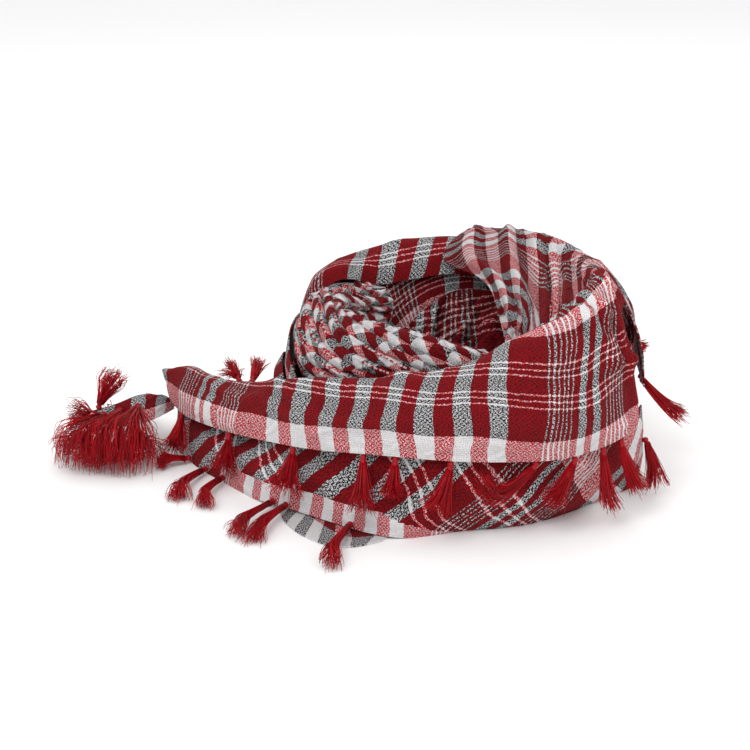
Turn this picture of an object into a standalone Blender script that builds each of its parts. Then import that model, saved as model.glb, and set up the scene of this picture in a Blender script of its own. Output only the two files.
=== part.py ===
"""A keffiyeh wound into a ring and laid down: stretches of cloth, knotted tassels and hidden layers.

Tables are in millimetres on the ring's own axis, +X right, -Y front, +Z up, and 0 on the floor.
A station is a bearing round the ring in degrees: 0 at the front, 90 right, 180 back, -90 left.
A share runs across the cloth from 0 at its hem or foot to 1 at its far edge.
Each cloth stretch is a wall of even thickness on a smooth surface through its sections.
"""

import math
from typing import NamedTuple

import bpy
import numpy as np

MM = 0.001
CENTRE = (-73.824, -7.809)
CLOTH_WALL = 1.6
FLOOR_GAP = 1.5
LINING_GAP = 0.8
TURN_STEP = 0.5
SHARE_STEP = 0.004

FRONT_CELLS = (54, 10)
BACK_CELLS = (44, 11)
PANEL_CELLS = (42, 6)
UNDER_CELLS = (10, 2)
FAN_CELLS = (36, 14)
SIDE_LOOP_CELLS = (16, 4)
SMALL_LOOP_CELLS = (10, 4)
CORNER_CELLS = (10, 6)
STRAND_CELLS = (40, 14)
NEST_CELLS = (36, 6)
OUTSIDE_LINES = 10
MOUND_CELLS = (10, 9)

STRAND_RIDGE = 0.06
STRAND_PLIES = 4
STRAND_LAY = 7.0

TASSEL_SIDES = 6
KNOT_LENGTH = 8.0
KNOT_RADIUS = 4.0
KNOT_PROFILE = ((0.0, 0.2), (0.4, 0.9), (0.65, 0.7), (1.0, 1.0))
STRAND_STEPS = 2
STRAND_ROOT = 0.80
STRAND_TIP = 0.75
STRAND_PULL = 1.1
FLATNESS = 0.6
KNOT_TURN = 0.8
HEM_GAP = 0.9
FLOOR_KNOT_GAP = 0.75
HEM_LEAN = 0.25
FLOOR_KNOT_SHARE = 0.06
EDGE_STEP = 0.01

RED_COTTON = (0.45, 0.03, 0.04)
GREY_COTTON = (0.30, 0.30, 0.30)
TASSEL_RED = (0.62, 0.02, 0.04)


class Fold(NamedTuple):
    """A soft ridge between two places of a stretch: station, share across, width and height in mm."""

    station_a: float
    share_a: float
    station_b: float
    share_b: float
    width: float
    height: float


class Stretch(NamedTuple):
    """Sections of one stretch of cloth: their stations, where the lines lie across, and the points."""

    stations: np.ndarray
    shares: np.ndarray
    net: np.ndarray


class Cut(NamedTuple):
    """A stretch with the folds that are raised on it and its counts of cells along and across."""

    cloth: Stretch
    folds: tuple
    cells: tuple


def bend(station, *places):
    """Row of a section round the ring: each place is a radius, a height and, off the station, a bearing."""
    points = []
    for radius, height, *other in places:
        angle = math.radians(other[0] if other else station)
        points.append((radius * math.sin(angle), -radius * math.cos(angle), height))
    return station, *points


# Each row: station, hem, belly, shoulder, rim, tucked edge.
FRONT_WRAP = (
    (-122, (-248, 50, 42), (-252, 56, 49), (-255, 64, 55), (-258, 76, 58), (-259, 88, 51)),
    (-108, (-234, 27, 38), (-237, 33, 51), (-238, 45, 62), (-238, 62, 68), (-238, 76, 60)),
    (-95, (-213, -2, 41), (-217, 4, 56), (-217, 17, 67), (-217, 36, 71), (-216, 50, 62)),
    (-82, (-190, -27, 44), (-193, -23, 60), (-191, -12, 71), (-187, 4, 76), (-184, 17, 68)),
    bend(-68, (171, 52), (172, 72, -69), (166, 89, -70), (154, 98, -71), (144, 92, -72)),
    bend(-50, (153, 59), (155, 82), (147, 101), (131, 111), (120, 103)),
    bend(-34, (145, 65), (148, 88), (139, 108), (120, 119), (109, 111)),
    bend(-18, (140, 67), (144, 92), (134, 114), (112, 127), (102, 119)),
    bend(0, (138, 66), (143, 93), (133, 119), (110, 134), (100, 126)),
    bend(15, (138, 64), (145, 93), (135, 126), (111, 149), (99, 142)),
    bend(30, (140, 61), (148, 92), (138, 128), (112, 156), (99, 150)),
    bend(45, (145, 62), (152, 93), (142, 132), (117, 164, 46), (104, 160, 46)),
    bend(58, (154, 69, 56), (153, 95), (139, 136, 60), (118, 173, 62), (103, 168, 64)),
    bend(68, (153, 77, 63), (148, 97, 65), (137, 137), (117, 176, 78), (103, 173, 82)),
)

# Each row: station, foot, belly, shoulder, crest, fall inside, inner hem.
BACK_WRAP = (
    bend(60, (124, 0), (133, 38), (130, 104, 62), (112, 150, 64), (102, 146, 65), (97, 136, 66)),
    bend(72, (136, 0), (141, 42), (136, 102, 73), (114, 155, 75), (104, 151, 76), (98, 139, 77)),
    bend(84, (146, 0), (147, 45), (138, 98), (113, 158), (104, 154), (98, 142)),
    bend(100, (145, 0), (147, 46), (137, 102), (114, 156), (102, 151), (95, 138)),
    bend(120, (142, 0), (146, 46), (139, 106), (117, 159.8), (103, 152), (94, 136)),
    bend(140, (140, 0), (145, 46), (138, 112), (117, 162), (103, 154), (95, 138)),
    bend(160, (139, 0), (144, 46), (137, 114), (113, 166), (100, 155), (93, 139)),
    bend(178, (139, 0), (144, 46), (136, 116), (114, 169), (100, 160, 177), (91, 144, 176)),
    bend(194, (140, 0), (145, 46), (139, 114), (119, 167), (104, 158, 193), (96, 142, 192)),
    bend(210, (142, 0), (148, 46), (142, 110), (127, 162), (112, 154), (105, 137)),
    bend(225, (144, 0), (150, 46), (146, 106), (136, 156), (122, 152, 224), (115, 138, 223)),
    bend(240, (145, 0), (150, 44), (149, 98), (146, 140, 241), (138, 147), (129, 142, 239)),
    bend(255, (146, 0), (149, 34), (149, 60), (148, 84), (146, 96), (142, 102)),
    bend(268, (145, 0), (147, 28), (147, 50), (146, 66), (143, 74), (138, 78)),
    bend(282, (141, 0), (145, 24), (146, 42), (145, 58), (142, 66), (138, 70)),
)

# Each row: station, foot, low, waist, tucked top.
LOWER_PANEL = (
    (-112, (-245, 44, 0), (-244, 45, 8), (-242, 48, 16), (-240, 52, 22)),
    (-100, (-222, 2, 0), (-221, 4, 14), (-217, 11, 26), (-213, 20, 34)),
    (-88, (-202, -24, 0), (-200, -20, 16), (-195, -11, 30), (-190, -2, 40)),
    (-74, (-174, -58, 0), (-171, -55, 18), (-163, -47, 38), (-156, -36, 52)),
    bend(-62, (171, 2.6), (167, 20), (155, 44), (150, 66)),
    bend(-50, (158, 2.6), (153, 22), (143, 48), (139, 74)),
    bend(-38, (153, 2.6), (149, 22), (138, 50), (134, 78)),
    bend(-26, (151, 2.2), (147, 22), (135, 50), (131, 80)),
    bend(-16, (139, 0), (142, 20), (134, 50), (129, 80)),
    bend(-4, (124, 0), (134, 18), (132, 48), (128, 80)),
    bend(10, (120, 0), (131, 18), (131, 48), (128, 80)),
    bend(30, (120, 0), (131, 18), (132, 48), (129, 78)),
    bend(50, (122, 0), (133, 18), (136, 46), (135, 76)),
    bend(64, (132, 0), (142, 20), (146, 46), (146, 74, 63)),
    bend(76, (148, 0), (151, 20), (151, 46, 75), (149, 74, 74)),
)

# Each row: station, outer edge, middle, inner edge.
UNDER_LAYER = (
    bend(-61, (172, 0), (158, 0), (142, 0)),
    bend(-53, (180, 0), (160, 0), (140, 0)),
    bend(-45, (185, 0), (162, 0), (138, 0)),
    bend(-37, (186, 0), (162, 0), (137, 0)),
    bend(-30, (177, 0), (156, 0), (136, 0)),
    bend(-25, (158, 0), (147, 0), (135, 0)),
)

# Each row: station, outer hem, outer shoulder, crest, upper, middle, lower, far end.
PLEAT_FAN = (
    (
        96, (153, 10, 70), (143, 8, 124), (114, -4, 168),
        (106, -10, 166), (99, -18, 161),
        (93, -28, 157), (84, -44, 151),
    ),
    (
        120, (135, 78, 104), (128, 76, 142), (100, 82, 167),
        (94, 60, 158), (88, 25, 153),
        (82, -15, 150), (76, -52, 140),
    ),
    (
        138, (102, 114, 108), (96, 108, 146), (77, 103, 174),
        (73, 74, 161), (72, 30, 149),
        (70, -15, 140), (64, -58, 128),
    ),
    (
        155, (64, 137, 110), (60, 130, 150), (44, 113, 177),
        (40, 84, 165), (46, 40, 150),
        (50, -8, 136), (48, -58, 121),
    ),
    (
        174, (17, 150, 112), (15, 142, 150), (7, 119, 174),
        (-13, 97, 159), (15, 60, 151),
        (30, 12, 135), (36, -48, 116),
    ),
)

# Each row: station, lower edge, middle, upper edge.
SIDE_LOOP = (
    bend(-112, (130, 112), (132, 122), (130, 132)),
    bend(-104, (137, 102), (138.5, 116), (135.5, 130)),
    bend(-93, (142, 89.4), (143.3, 107.6), (140.3, 126)),
    bend(-81, (143, 81.3), (145, 95.5), (143, 110)),
    bend(-72, (139, 78), (141.4, 86), (140.6, 94.2)),
)

SMALL_LOOP = (
    bend(-111, (151.6, 60), (154.6, 70), (152.6, 80)),
    bend(-102, (151.8, 64), (156.4, 78), (150.3, 93)),
    bend(-90, (150.5, 68), (155, 82), (149, 96)),
    bend(-80, (149, 66), (151, 76), (148, 86)),
)

# Each row: station, middle radius, middle height, half width, half height.
STRAND = (
    (32, 60, 103, 12, 12),
    (18, 70, 109, 16, 16),
    (2, 77, 113, 20, 21),
    (-14, 77, 116, 21, 23),
    (-30, 81, 118, 22, 25),
    (-46, 89, 119, 24, 28),
    (-62, 102, 118, 26, 33),
    (-78, 111, 117, 26, 36),
    (-94, 113, 117, 25, 36),
    (-110, 108, 120, 23, 31),
    (-124, 99, 123, 18, 23),
    (-138, 90, 125, 13, 16),
)

# Each row: station, upper edge, slope, low, middle of the nest.
LINING = (
    bend(-90, (80, 102), (70, 88), (46, 75), (3, 70)),
    bend(-45, (62, 96), (55, 83), (38, 72), (3, 70)),
    bend(0, (53, 91), (47, 80), (34, 71), (3, 70)),
    bend(45, (58, 93), (51, 81), (36, 72), (3, 70)),
    bend(90, (82, 124), (66, 98), (44, 77), (3, 70)),
    bend(135, (86, 126), (70, 100), (46, 78), (3, 70)),
    bend(180, (88, 130), (75, 104), (50, 79), (3, 70)),
    bend(225, (76, 102), (68, 90), (48, 77), (3, 70)),
)

# Each row: station, foot, belly, shoulder, crest, ledge under the strand, lip beside the nest.
HIDDEN_LAYERS = (
    bend(-90, (138, 0), (141, 28), (137, 54), (130, 71), (112, 80), (86, 86)),
    bend(-45, (132, 0), (136, 34), (130, 66), (118, 83), (90, 87.2), (64, 86)),
    bend(0, (118, 0), (125, 32), (125, 80), (113, 108), (78, 88.6), (56, 83)),
    bend(28, (116, 0), (126, 34), (128.4, 86), (115, 122), (80, 90), (60, 84)),
    bend(55, (118, 0), (128, 36), (129.2, 94), (112, 138), (92, 122), (68, 92)),
    bend(90, (138, 0), (143, 42), (133, 98), (111, 144), (98, 134), (84, 114)),
    bend(135, (136, 0), (141, 44), (133, 104), (115, 148), (103, 134), (88, 116)),
    bend(180, (134, 0), (140, 44), (132.7, 108), (113.4, 157.4), (101, 142), (90, 122)),
    bend(205, (137, 0), (143, 44), (137, 104), (121, 146), (106, 126), (88, 104)),
    bend(225, (140, 0), (146, 42), (141, 94), (132, 126), (108, 100), (82, 92)),
    bend(248, (142, 0), (146, 34), (143, 64), (134, 78), (108, 82), (82, 86)),
)

# Each row: place along the tail (x), middle (y), half width and height of the mound under it.
TAIL_MOUND = (
    (-153, -5, 27, 53),
    (-160, -3, 31, 62),
    (-178, 11, 30, 66),
    (-198, 31, 28, 64),
    (-218, 49, 26, 60),
    (-236, 69, 18, 50),
    (-248, 77, 12, 36),
)

# Each row: place along the corner, front hem, ridge, back hem.
TAIL_CORNER = (
    (0, (-317, 28, 27), (-317, 38, 35), (-316, 48, 29)),
    (24, (-294, 24, 28), (-294, 38, 42), (-293, 52, 34)),
    (48, (-272, 26, 30), (-272, 46, 47), (-271, 64, 38)),
    (72, (-249.4, 62, 29), (-249.4, 71, 33), (-249.4, 80, 30)),
)

FRONT_FOLDS = (
    Fold(44, 0.96, 49, 0.56, 5, 5),
    Fold(53, 0.90, 51, 0.50, 5, 4),
    Fold(62, 0.86, 57, 0.46, 5, 4),
    Fold(57, 0.46, 60, 0.20, 6, 3),
    Fold(-60, 0.66, -18, 0.52, 9, 2),
    Fold(4, 0.34, 40, 0.28, 10, 2),
    Fold(-92, 0.64, -74, 0.44, 7, 3),
)

BACK_FOLDS = (
    Fold(98, 0.08, 128, 0.40, 9, 4),
    Fold(138, 0.06, 165, 0.38, 9, 4),
    Fold(178, 0.10, 203, 0.44, 10, 4),
    Fold(214, 0.08, 238, 0.42, 9, 4),
    Fold(196, 0.86, 226, 0.80, 5, 2),
    Fold(172, 0.74, 206, 0.66, 6, 2),
)

PANEL_FOLDS = (
    Fold(-62, 0.52, -22, 0.20, 8, 3),
    Fold(-10, 0.66, 46, 0.24, 9, 3),
    Fold(22, 0.84, 68, 0.44, 8, 3),
    Fold(-96, 0.56, -68, 0.34, 8, 3),
)

FAN_FOLDS = (
    Fold(167, 0.38, 164, 0.80, 6, 7),
    Fold(154, 0.38, 153, 0.86, 5, 7),
    Fold(142, 0.40, 140, 0.90, 6, 6.5),
    Fold(133, 0.42, 131, 0.90, 6, 4),
    Fold(123, 0.48, 116, 0.88, 6, 4.5),
    Fold(160, 0.02, 158, 0.24, 8, 4),
    Fold(132, 0.02, 135, 0.26, 9, 4),
    Fold(110, 0.04, 113, 0.28, 8, 4),
)

LINING_FOLDS = (
    Fold(186, 0.04, 170, 0.70, 6, 5),
    Fold(206, 0.10, 214, 0.66, 6, 5),
    Fold(152, 0.06, 158, 0.60, 6, 5),
    Fold(-70, 0.20, -84, 0.74, 5, 4),
    Fold(-20, 0.26, -4, 0.74, 5, 3),
    Fold(96, 0.10, 110, 0.66, 6, 5),
)

# Each row: station on the hem, tip, how far the middle bows up, half spread of the strands.
WRAP_TASSELS = (
    (-111, (-240, 4, 14), 0, 11),
    (-82, (-200, -48, 20), 0, 15),
    (-58, (-145, -112, 28), 0, 15),
    (-33, (-84, -144, 26), 0, 10),
    (-24, (-62, -150, 40), 0, 10),
    (-5, (-28, -158, 34), 0, 9),
    (22, (8, -154, 50), -8, 10),
    (36, (62, -140, 30), 0, 10),
    (48, (112, -122, 18), 0, 8),
    (55, (141, -104, 26), 0, 9),
)

PANEL_TASSELS = (
    (-104, (-257, -3, 6), 4, 8),
    (-96, (-234, -72, 4), 5, 11),
    (-86, (-212, -88, 4), 5, 9),
    (-64, (-184, -142, 4), 6, 8),
    (-59, (-166, -150, 4), 6, 9),
    (-35, (-106, -196, 4), 6, 8),
)

FAN_TASSELS = (
    (100, (190, 16, 40), 0, 7),
    (115, (164, 68, 84), 0, 7),
    (130, (134, 118, 58), 0, 8),
    (145, (95, 152, 60), 0, 8),
    (160, (50, 170, 62), 0, 8),
    (172, (14, 178, 64), 0, 8),
)

CORNER_FRONT_TASSELS = (
    (3, (-332, 8, 6), 0, 11),
    (15, (-309, -4, 6), 0, 7),
    (28, (-291, -2, 6), 0, 7),
    (41, (-275, 2, 6), 0, 7),
)

CORNER_BACK_TASSELS = (
    (2, (-339, 57, 25), 0, 12),
    (18, (-308, 84, 16), 0, 8),
    (34, (-276, 104, 12), 0, 8),
)

# Each row: station, share across, tip, how far the middle bows up, half spread, on the stretch itself.
WRAP_TOP_TASSELS = (
    (-84, 1.0, (-197, 40, 78), 0, 9),
    (-79, 1.0, (-170, 40, 82), 0, 8),
)

PANEL_SIDE_TASSELS = ((74, 0.62, (154, -62, 8), 0, 8),)

CORNER_TOP_TASSELS = (
    (8, 0.5, (-292, 42, 72), 0, 9),
    (14, 0.32, (-325, -20, 8), 14, 10),
    (26, 0.32, (-308, -24, 9), 14, 8),
    (40, 0.32, (-287, -28, 9), 14, 8),
)


def stretch(rows):
    """Stretch through rows of a station and its points, with the lines spaced by their mean lengths."""
    net = np.array([row[1:] for row in rows], float)
    steps = np.linalg.norm(np.diff(net, axis=1), axis=2).mean(axis=0)
    shares = np.concatenate([[0.0], np.cumsum(steps)]) / steps.sum()
    return Stretch(np.array([row[0] for row in rows], float), shares, net)


def spline_weights(knots, places):
    """Weights that carry values at the knots to a natural cubic spline at the places."""
    count = len(knots)
    step = np.diff(knots)
    system = np.eye(count)
    change = np.zeros((count, count))
    for i in range(1, count - 1):
        system[i, i - 1 : i + 2] = step[i - 1], 2 * (step[i - 1] + step[i]), step[i]
        change[i, i - 1 : i + 2] = 6 / step[i - 1], -6 / step[i - 1] - 6 / step[i], 6 / step[i]
    second = np.linalg.solve(system, change)
    span = np.clip(np.searchsorted(knots, places, side="right") - 1, 0, count - 2)
    width = step[span][:, None]
    after = ((places - knots[span]) / step[span])[:, None]
    before = 1 - after
    unit = np.eye(count)
    curve = (before**3 - before) * second[span] + (after**3 - after) * second[span + 1]
    return before * unit[span] + after * unit[span + 1] + curve * width**2 / 6


def surface(cloth, stations, shares):
    """Grid of points of a stretch at every station and share across."""
    along = spline_weights(cloth.stations, stations)
    across = spline_weights(cloth.shares, shares)
    return np.einsum("ua,abk,vb->uvk", along, cloth.net, across)


def unit(vectors):
    """Vectors scaled to length one."""
    return vectors / np.maximum(np.linalg.norm(vectors, axis=-1, keepdims=True), 1e-9)


def facing(shape, cloth, stations, shares):
    """Unit normals of a shape of a stretch, from its tangents along the ring and across the cloth."""
    along = shape(cloth, stations + TURN_STEP, shares) - shape(cloth, stations - TURN_STEP, shares)
    across = shape(cloth, stations, shares + SHARE_STEP) - shape(cloth, stations, shares - SHARE_STEP)
    return unit(np.cross(along, across))


def fold_heights(cloth, folds, stations, shares):
    """Height of the folds at each grid point: a bell across each ridge, fading out past its ends."""
    degree = np.linalg.norm(np.diff(cloth.net, axis=0), axis=2).mean() / np.diff(cloth.stations).mean()
    width = np.linalg.norm(np.diff(cloth.net, axis=1), axis=2).sum(axis=1).mean()
    places = np.stack(np.meshgrid(stations * degree, shares * width, indexing="ij"), axis=-1)
    total = np.zeros(places.shape[:2])
    for fold in folds:
        start = np.array([fold.station_a * degree, fold.share_a * width])
        run = np.array([fold.station_b * degree, fold.share_b * width]) - start
        t = np.clip((places - start) @ run / (run @ run), 0, 1)
        away = np.linalg.norm(places - start - t[..., None] * run, axis=-1)
        total += fold.height * np.exp(-((away / fold.width) ** 2))
    return total


def folded(cloth, folds, stations, shares):
    """Grid of points of a stretch, raised at its folds."""
    lift = fold_heights(cloth, folds, stations, shares)[..., None]
    return surface(cloth, stations, shares) + facing(surface, cloth, stations, shares) * lift


def both_sides(cloth, folds, stations, shares):
    """Grids of points on the hidden and the visible side of a stretch, each raised at its folds."""
    def shape(cloth, stations, shares):
        return folded(cloth, folds, stations, shares)

    inner = shape(cloth, stations, shares)
    return inner, inner + facing(shape, cloth, stations, shares) * CLOTH_WALL


def along_places(cut):
    """Stations of the rows of a piece's grid."""
    return np.linspace(cut.cloth.stations[0], cut.cloth.stations[-1], cut.cells[0] + 1)


def nearest_row(cut, station):
    """The row's station that lies nearest to a station, in an array of one."""
    places = along_places(cut)
    return places[[np.abs(places - station).argmin()]]


def grid_faces(rows, columns, first=0, closed=False, hidden=False):
    """Four-sided faces of a grid of points, joined round when closed along its rows, or turned over.

    Both sides of a wall are cut along the same diagonal of each face, so that they never cross.
    """
    faces = []
    for i in range(rows if closed else rows - 1):
        for j in range(columns - 1):
            a = first + i * columns + j
            b = first + (i + 1) % rows * columns + j
            faces.append((a, a + 1, b + 1, b) if hidden else (a, b, b + 1, a + 1))
    return faces


def ring_bands(rows, columns):
    """Faces between rings of points that lie one after the other."""
    faces = []
    for i in range(rows - 1):
        for j in range(columns):
            k = (j + 1) % columns
            faces.append((i * columns + j, i * columns + k, (i + 1) * columns + k, (i + 1) * columns + j))
    return faces


def wall(cut):
    """Points and faces of a wall of cloth whose hidden side is the stretch, raised at its folds."""
    inner, outer = both_sides(cut.cloth, cut.folds, along_places(cut), np.linspace(0, 1, cut.cells[1] + 1))
    rows, columns = inner.shape[:2]
    points = np.concatenate([inner.reshape(-1, 3), outer.reshape(-1, 3)])
    points[:, 2] = np.maximum(points[:, 2], 0)
    back = rows * columns
    faces = grid_faces(rows, columns, hidden=True) + grid_faces(rows, columns, back)
    rim = [i * columns for i in range(rows)]
    rim += [(rows - 1) * columns + j for j in range(1, columns)]
    rim += [i * columns + columns - 1 for i in range(rows - 2, -1, -1)]
    rim += [j for j in range(columns - 2, 0, -1)]
    for a, b in zip(rim, rim[1:] + rim[:1]):
        faces.append((a, b, b + back, a + back))
    return points, faces


def tube(rings):
    """Points and faces of a closed solid through rings of points, with flat ends."""
    rows, columns = rings.shape[:2]
    faces = ring_bands(rows, columns)
    faces.append(tuple(reversed(range(columns))))
    faces.append(tuple(range((rows - 1) * columns, rows * columns)))
    return rings.reshape(-1, 3), faces


def bowl(rings):
    """Points and faces of a solid whose rings run from the middle of the floor out, up, over and in."""
    rows, columns = rings.shape[:2]
    points = np.concatenate([rings.reshape(-1, 3), rings[[0, -1]].mean(axis=1)])
    faces = ring_bands(rows, columns)
    bottom, top = rows * columns, rows * columns + 1
    for j in range(columns):
        k = (j + 1) % columns
        faces.append((bottom, k, j))
        faces.append((top, (rows - 1) * columns + j, (rows - 1) * columns + k))
    return points, faces


def strand_paths(middle, heading, tip, bow):
    """Points of a tassel's middle line at each step: it leaves the knot straight and eases to the tip."""
    run = tip - middle
    lift = np.array([0.0, 0.0, bow])
    steps = np.arange(1, STRAND_STEPS + 1)[:, None] / STRAND_STEPS
    pull = heading * np.linalg.norm(run) * STRAND_PULL * steps * (1 - steps) ** 2
    return middle + pull + run * (steps + 2 * steps**2 - 2 * steps**3) + lift * 4 * steps * (1 - steps)


def turned(offsets, before, after):
    """Offsets turned by the rotation that carries one unit direction to another."""
    axis, cosine = np.cross(before, after), before @ after
    across = np.cross(axis, offsets)
    return offsets + across + np.cross(axis, across) / (1 + cosine)


def tassel(knot, heading, tip, bow, spread, aside):
    """Points and faces of a tassel: a turned knot whose foot carries six three-sided strands.

    The knot leans from its heading towards the tip. Each strand grows from one sector of the knot's
    foot, a little smaller than the sector, and the sector's place round the foot sets how far the
    strand strays to the side. Strands that would reach the floor are lifted together.
    """
    tip = np.array(tip, float)
    heading = unit(unit(np.array(heading, float)) + unit(tip - knot) * KNOT_TURN)
    side = unit(np.cross(heading, aside))
    front = np.cross(side, heading)
    turns = np.arange(TASSEL_SIDES) * 2 * math.pi / TASSEL_SIDES
    circle = np.cos(turns)[:, None] * side - np.sin(turns)[:, None] * front
    middle = knot + heading * KNOT_LENGTH
    points = []
    for reach, size in KNOT_PROFILE:
        points.extend(knot + heading * KNOT_LENGTH * reach + circle * KNOT_RADIUS * size)
    points.append(middle)
    centre = len(points) - 1
    foot = centre - TASSEL_SIDES
    faces = [tuple(reversed(range(TASSEL_SIDES)))]
    faces += ring_bands(len(KNOT_PROFILE), TASSEL_SIDES)
    corners = [(foot + k, foot + (k + 1) % TASSEL_SIDES, centre) for k in range(TASSEL_SIDES)]
    sectors = np.array([[points[corner] for corner in trio] for trio in corners])
    hearts = sectors.mean(axis=1, keepdims=True)
    outward = hearts - middle
    away = outward / np.linalg.norm(outward, axis=-1, keepdims=True)
    wide, deep = turned(np.array([side, front]), heading, unit(tip - middle))
    stray = (wide * (away @ side)[..., None] + deep * (away @ front)[..., None] * FLATNESS) * spread
    roots = (sectors - hearts) * STRAND_ROOT
    sections = [hearts + roots]
    paths = strand_paths(middle, heading, tip, bow)
    runs = unit(np.gradient(np.array([middle, *paths]), axis=0))[1:]
    for step, (path, run) in enumerate(zip(paths, runs), 1):
        t = step / STRAND_STEPS
        size = 1 + (STRAND_TIP - 1) * t
        section = path + outward + (stray - outward) * t + turned(roots, heading, run) * size
        sections.append(section + [0, 0, max(0.0, FLOOR_GAP - section[..., 2].min())])
    for k, previous in enumerate(corners):
        for section in sections:
            current = [len(points), len(points) + 1, len(points) + 2]
            points.extend(section[k])
            for i in range(3):
                j = (i + 1) % 3
                faces.append((previous[i], previous[j], current[j], current[i]))
            previous = current
        faces.append(tuple(previous))
    return np.array(points), faces


def hem_tassels(cut, rows, share=0.0):
    """Tassels along one edge of a piece: each knot hangs just off the edge, square to it."""
    made = []
    inward = EDGE_STEP if share == 0.0 else -EDGE_STEP
    for station, tip, bow, spread in rows:
        place = nearest_row(cut, station)
        sides = both_sides(cut.cloth, cut.folds, place, np.array([share, share + inward]))
        inner, outer = (side[0] for side in sides)
        out = unit(outer[0] - inner[0])
        off = unit(inner[0] - inner[1])
        knot = (inner[0] + outer[0]) / 2 + off * HEM_GAP
        made.append(tassel(knot, off + out * HEM_LEAN, tip, bow, spread, out))
    return made


def laid_tassels(cut, rows):
    """Tassels whose knots lie on the outside of a piece."""
    made = []
    for station, share, tip, bow, spread in rows:
        sides = both_sides(cut.cloth, cut.folds, nearest_row(cut, station), np.array([share]))
        inner, outer = (side[0, 0] for side in sides)
        out = unit(outer - inner)
        knot = outer + out * HEM_GAP
        made.append(tassel(knot, unit(np.array(tip) - knot) + out, tip, bow, spread, out))
    return made


def floor_tassels(cut, rows):
    """Tassels along a hem that lies on the floor: each knot lies flat just outside the edge."""
    made = []
    for station, tip, bow, spread in rows:
        sides = both_sides(cut.cloth, cut.folds, nearest_row(cut, station), np.array([FLOOR_KNOT_SHARE]))
        inner, outer = (side[0, 0] for side in sides)
        out = unit(outer - inner)
        knot = outer + out * FLOOR_KNOT_GAP
        knot[2] = max(knot[2], KNOT_RADIUS + FLOOR_GAP)
        made.append(tassel(knot, out * [1.0, 1.0, 0.0], tip, bow, spread, (0.0, 0.0, 1.0)))
    return made


def wrapped(rows, extra=2):
    """Rows of a closed ring with a few repeated past each end, so that the surface closes smoothly."""
    before = [(row[0] - 360, *row[1:]) for row in rows[-extra:]]
    after = [(row[0] + 360, *row[1:]) for row in rows[:extra]]
    return (*before, *rows, *after)


def nest_lining(cells):
    """Points and faces of the nest's lining, a wall of cloth closed round the ring."""
    stations = np.linspace(-90, 270, cells[0], endpoint=False)
    shares = np.linspace(0, 1, cells[1] + 1)
    inner, outer = both_sides(stretch(wrapped(LINING)), LINING_FOLDS, stations, shares)
    rows, columns = inner.shape[:2]
    points = np.concatenate([inner.reshape(-1, 3), outer.reshape(-1, 3)])
    back = rows * columns
    faces = grid_faces(rows, columns, closed=True, hidden=True)
    faces += grid_faces(rows, columns, back, closed=True)
    for i in range(rows):
        a, b = i * columns, (i + 1) % rows * columns
        faces.append((a, b, b + back, a + back))
        c, d = a + columns - 1, b + columns - 1
        faces.append((d, c, c + back, d + back))
    return points, faces


def hidden_layers(cells):
    """Points and faces of the ring of hidden layers, its floor flat and its nest under the lining."""
    outside = stretch(wrapped(HIDDEN_LAYERS))
    nest = stretch(wrapped(LINING))
    stations = np.linspace(-90, 270, cells[0], endpoint=False)
    outer = surface(outside, stations, np.linspace(0, 1, OUTSIDE_LINES))
    depths = np.linspace(0, 1, cells[1] + 1)[1:]
    inner = surface(nest, stations, depths) - facing(surface, nest, stations, depths) * LINING_GAP
    return bowl(np.concatenate([outer, inner], axis=1).transpose(1, 0, 2))


def strand(rows, cells):
    """Points and faces of the twisted strand: oval sections along the ring, ridged as it is wound."""
    table = np.array(rows, float)[::-1]
    stations = np.linspace(table[0, 0], table[-1, 0], cells[0] + 1)
    values = spline_weights(table[:, 0], stations) @ table[:, 1:]
    turns = np.arange(cells[1]) * 2 * math.pi / cells[1]
    angle = np.radians(stations)
    outward = np.stack([np.sin(angle), -np.cos(angle), np.zeros_like(angle)], axis=-1)
    middle = outward * values[:, :1]
    middle[:, 2] = values[:, 1]
    twist = STRAND_PLIES * turns[None, :] - np.radians(STRAND_LAY * stations)[:, None]
    ridge = 1 - STRAND_RIDGE + STRAND_RIDGE * np.cos(twist)
    wide = values[:, 2:3] * np.cos(turns) * ridge
    high = values[:, 3:4] * np.sin(turns) * ridge
    down = np.array([0.0, 0.0, -1.0])
    return tube(middle[:, None] + outward[:, None] * wide[..., None] + down * high[..., None])


def tail_mound(rows, cells):
    """Points and faces of the mound of hidden layers under the tail: half ovals on a flat floor."""
    table = np.array(rows, float)[::-1]
    places = np.linspace(table[0, 0], table[-1, 0], cells[0] + 1)
    values = spline_weights(table[:, 0], places) @ table[:, 1:]
    turns = np.linspace(0, math.pi, cells[1])
    rings = np.zeros((len(places), cells[1], 3))
    rings[..., 0] = places[:, None]
    rings[..., 1] = values[:, :1] + values[:, 1:2] * np.cos(turns)
    rings[..., 2] = values[:, 2:3] * np.sin(turns)
    return tube(rings)


def material(name, colour):
    """Plain cotton finish of one colour."""
    finish = bpy.data.materials.new(name)
    finish.use_nodes = True
    shader = finish.node_tree.nodes["Principled BSDF"]
    shader.inputs["Base Color"].default_value = (*colour, 1.0)
    shader.inputs["Roughness"].default_value = 0.9
    shader.inputs["Metallic"].default_value = 0.0
    return finish


def add_piece(name, shape, finish):
    """Object of the given points, in mm, and faces, placed so that the floor's middle is the origin."""
    points, faces = shape
    place = (np.asarray(points) - [*CENTRE, 0.0]) * MM
    mesh = bpy.data.meshes.new(name)
    mesh.from_pydata([tuple(map(float, point)) for point in place], [], faces)
    mesh.update()
    body = bpy.data.objects.new(name, mesh)
    bpy.context.collection.objects.link(body)
    mesh.materials.append(finish)
    mesh.shade_smooth()
    return body


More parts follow.
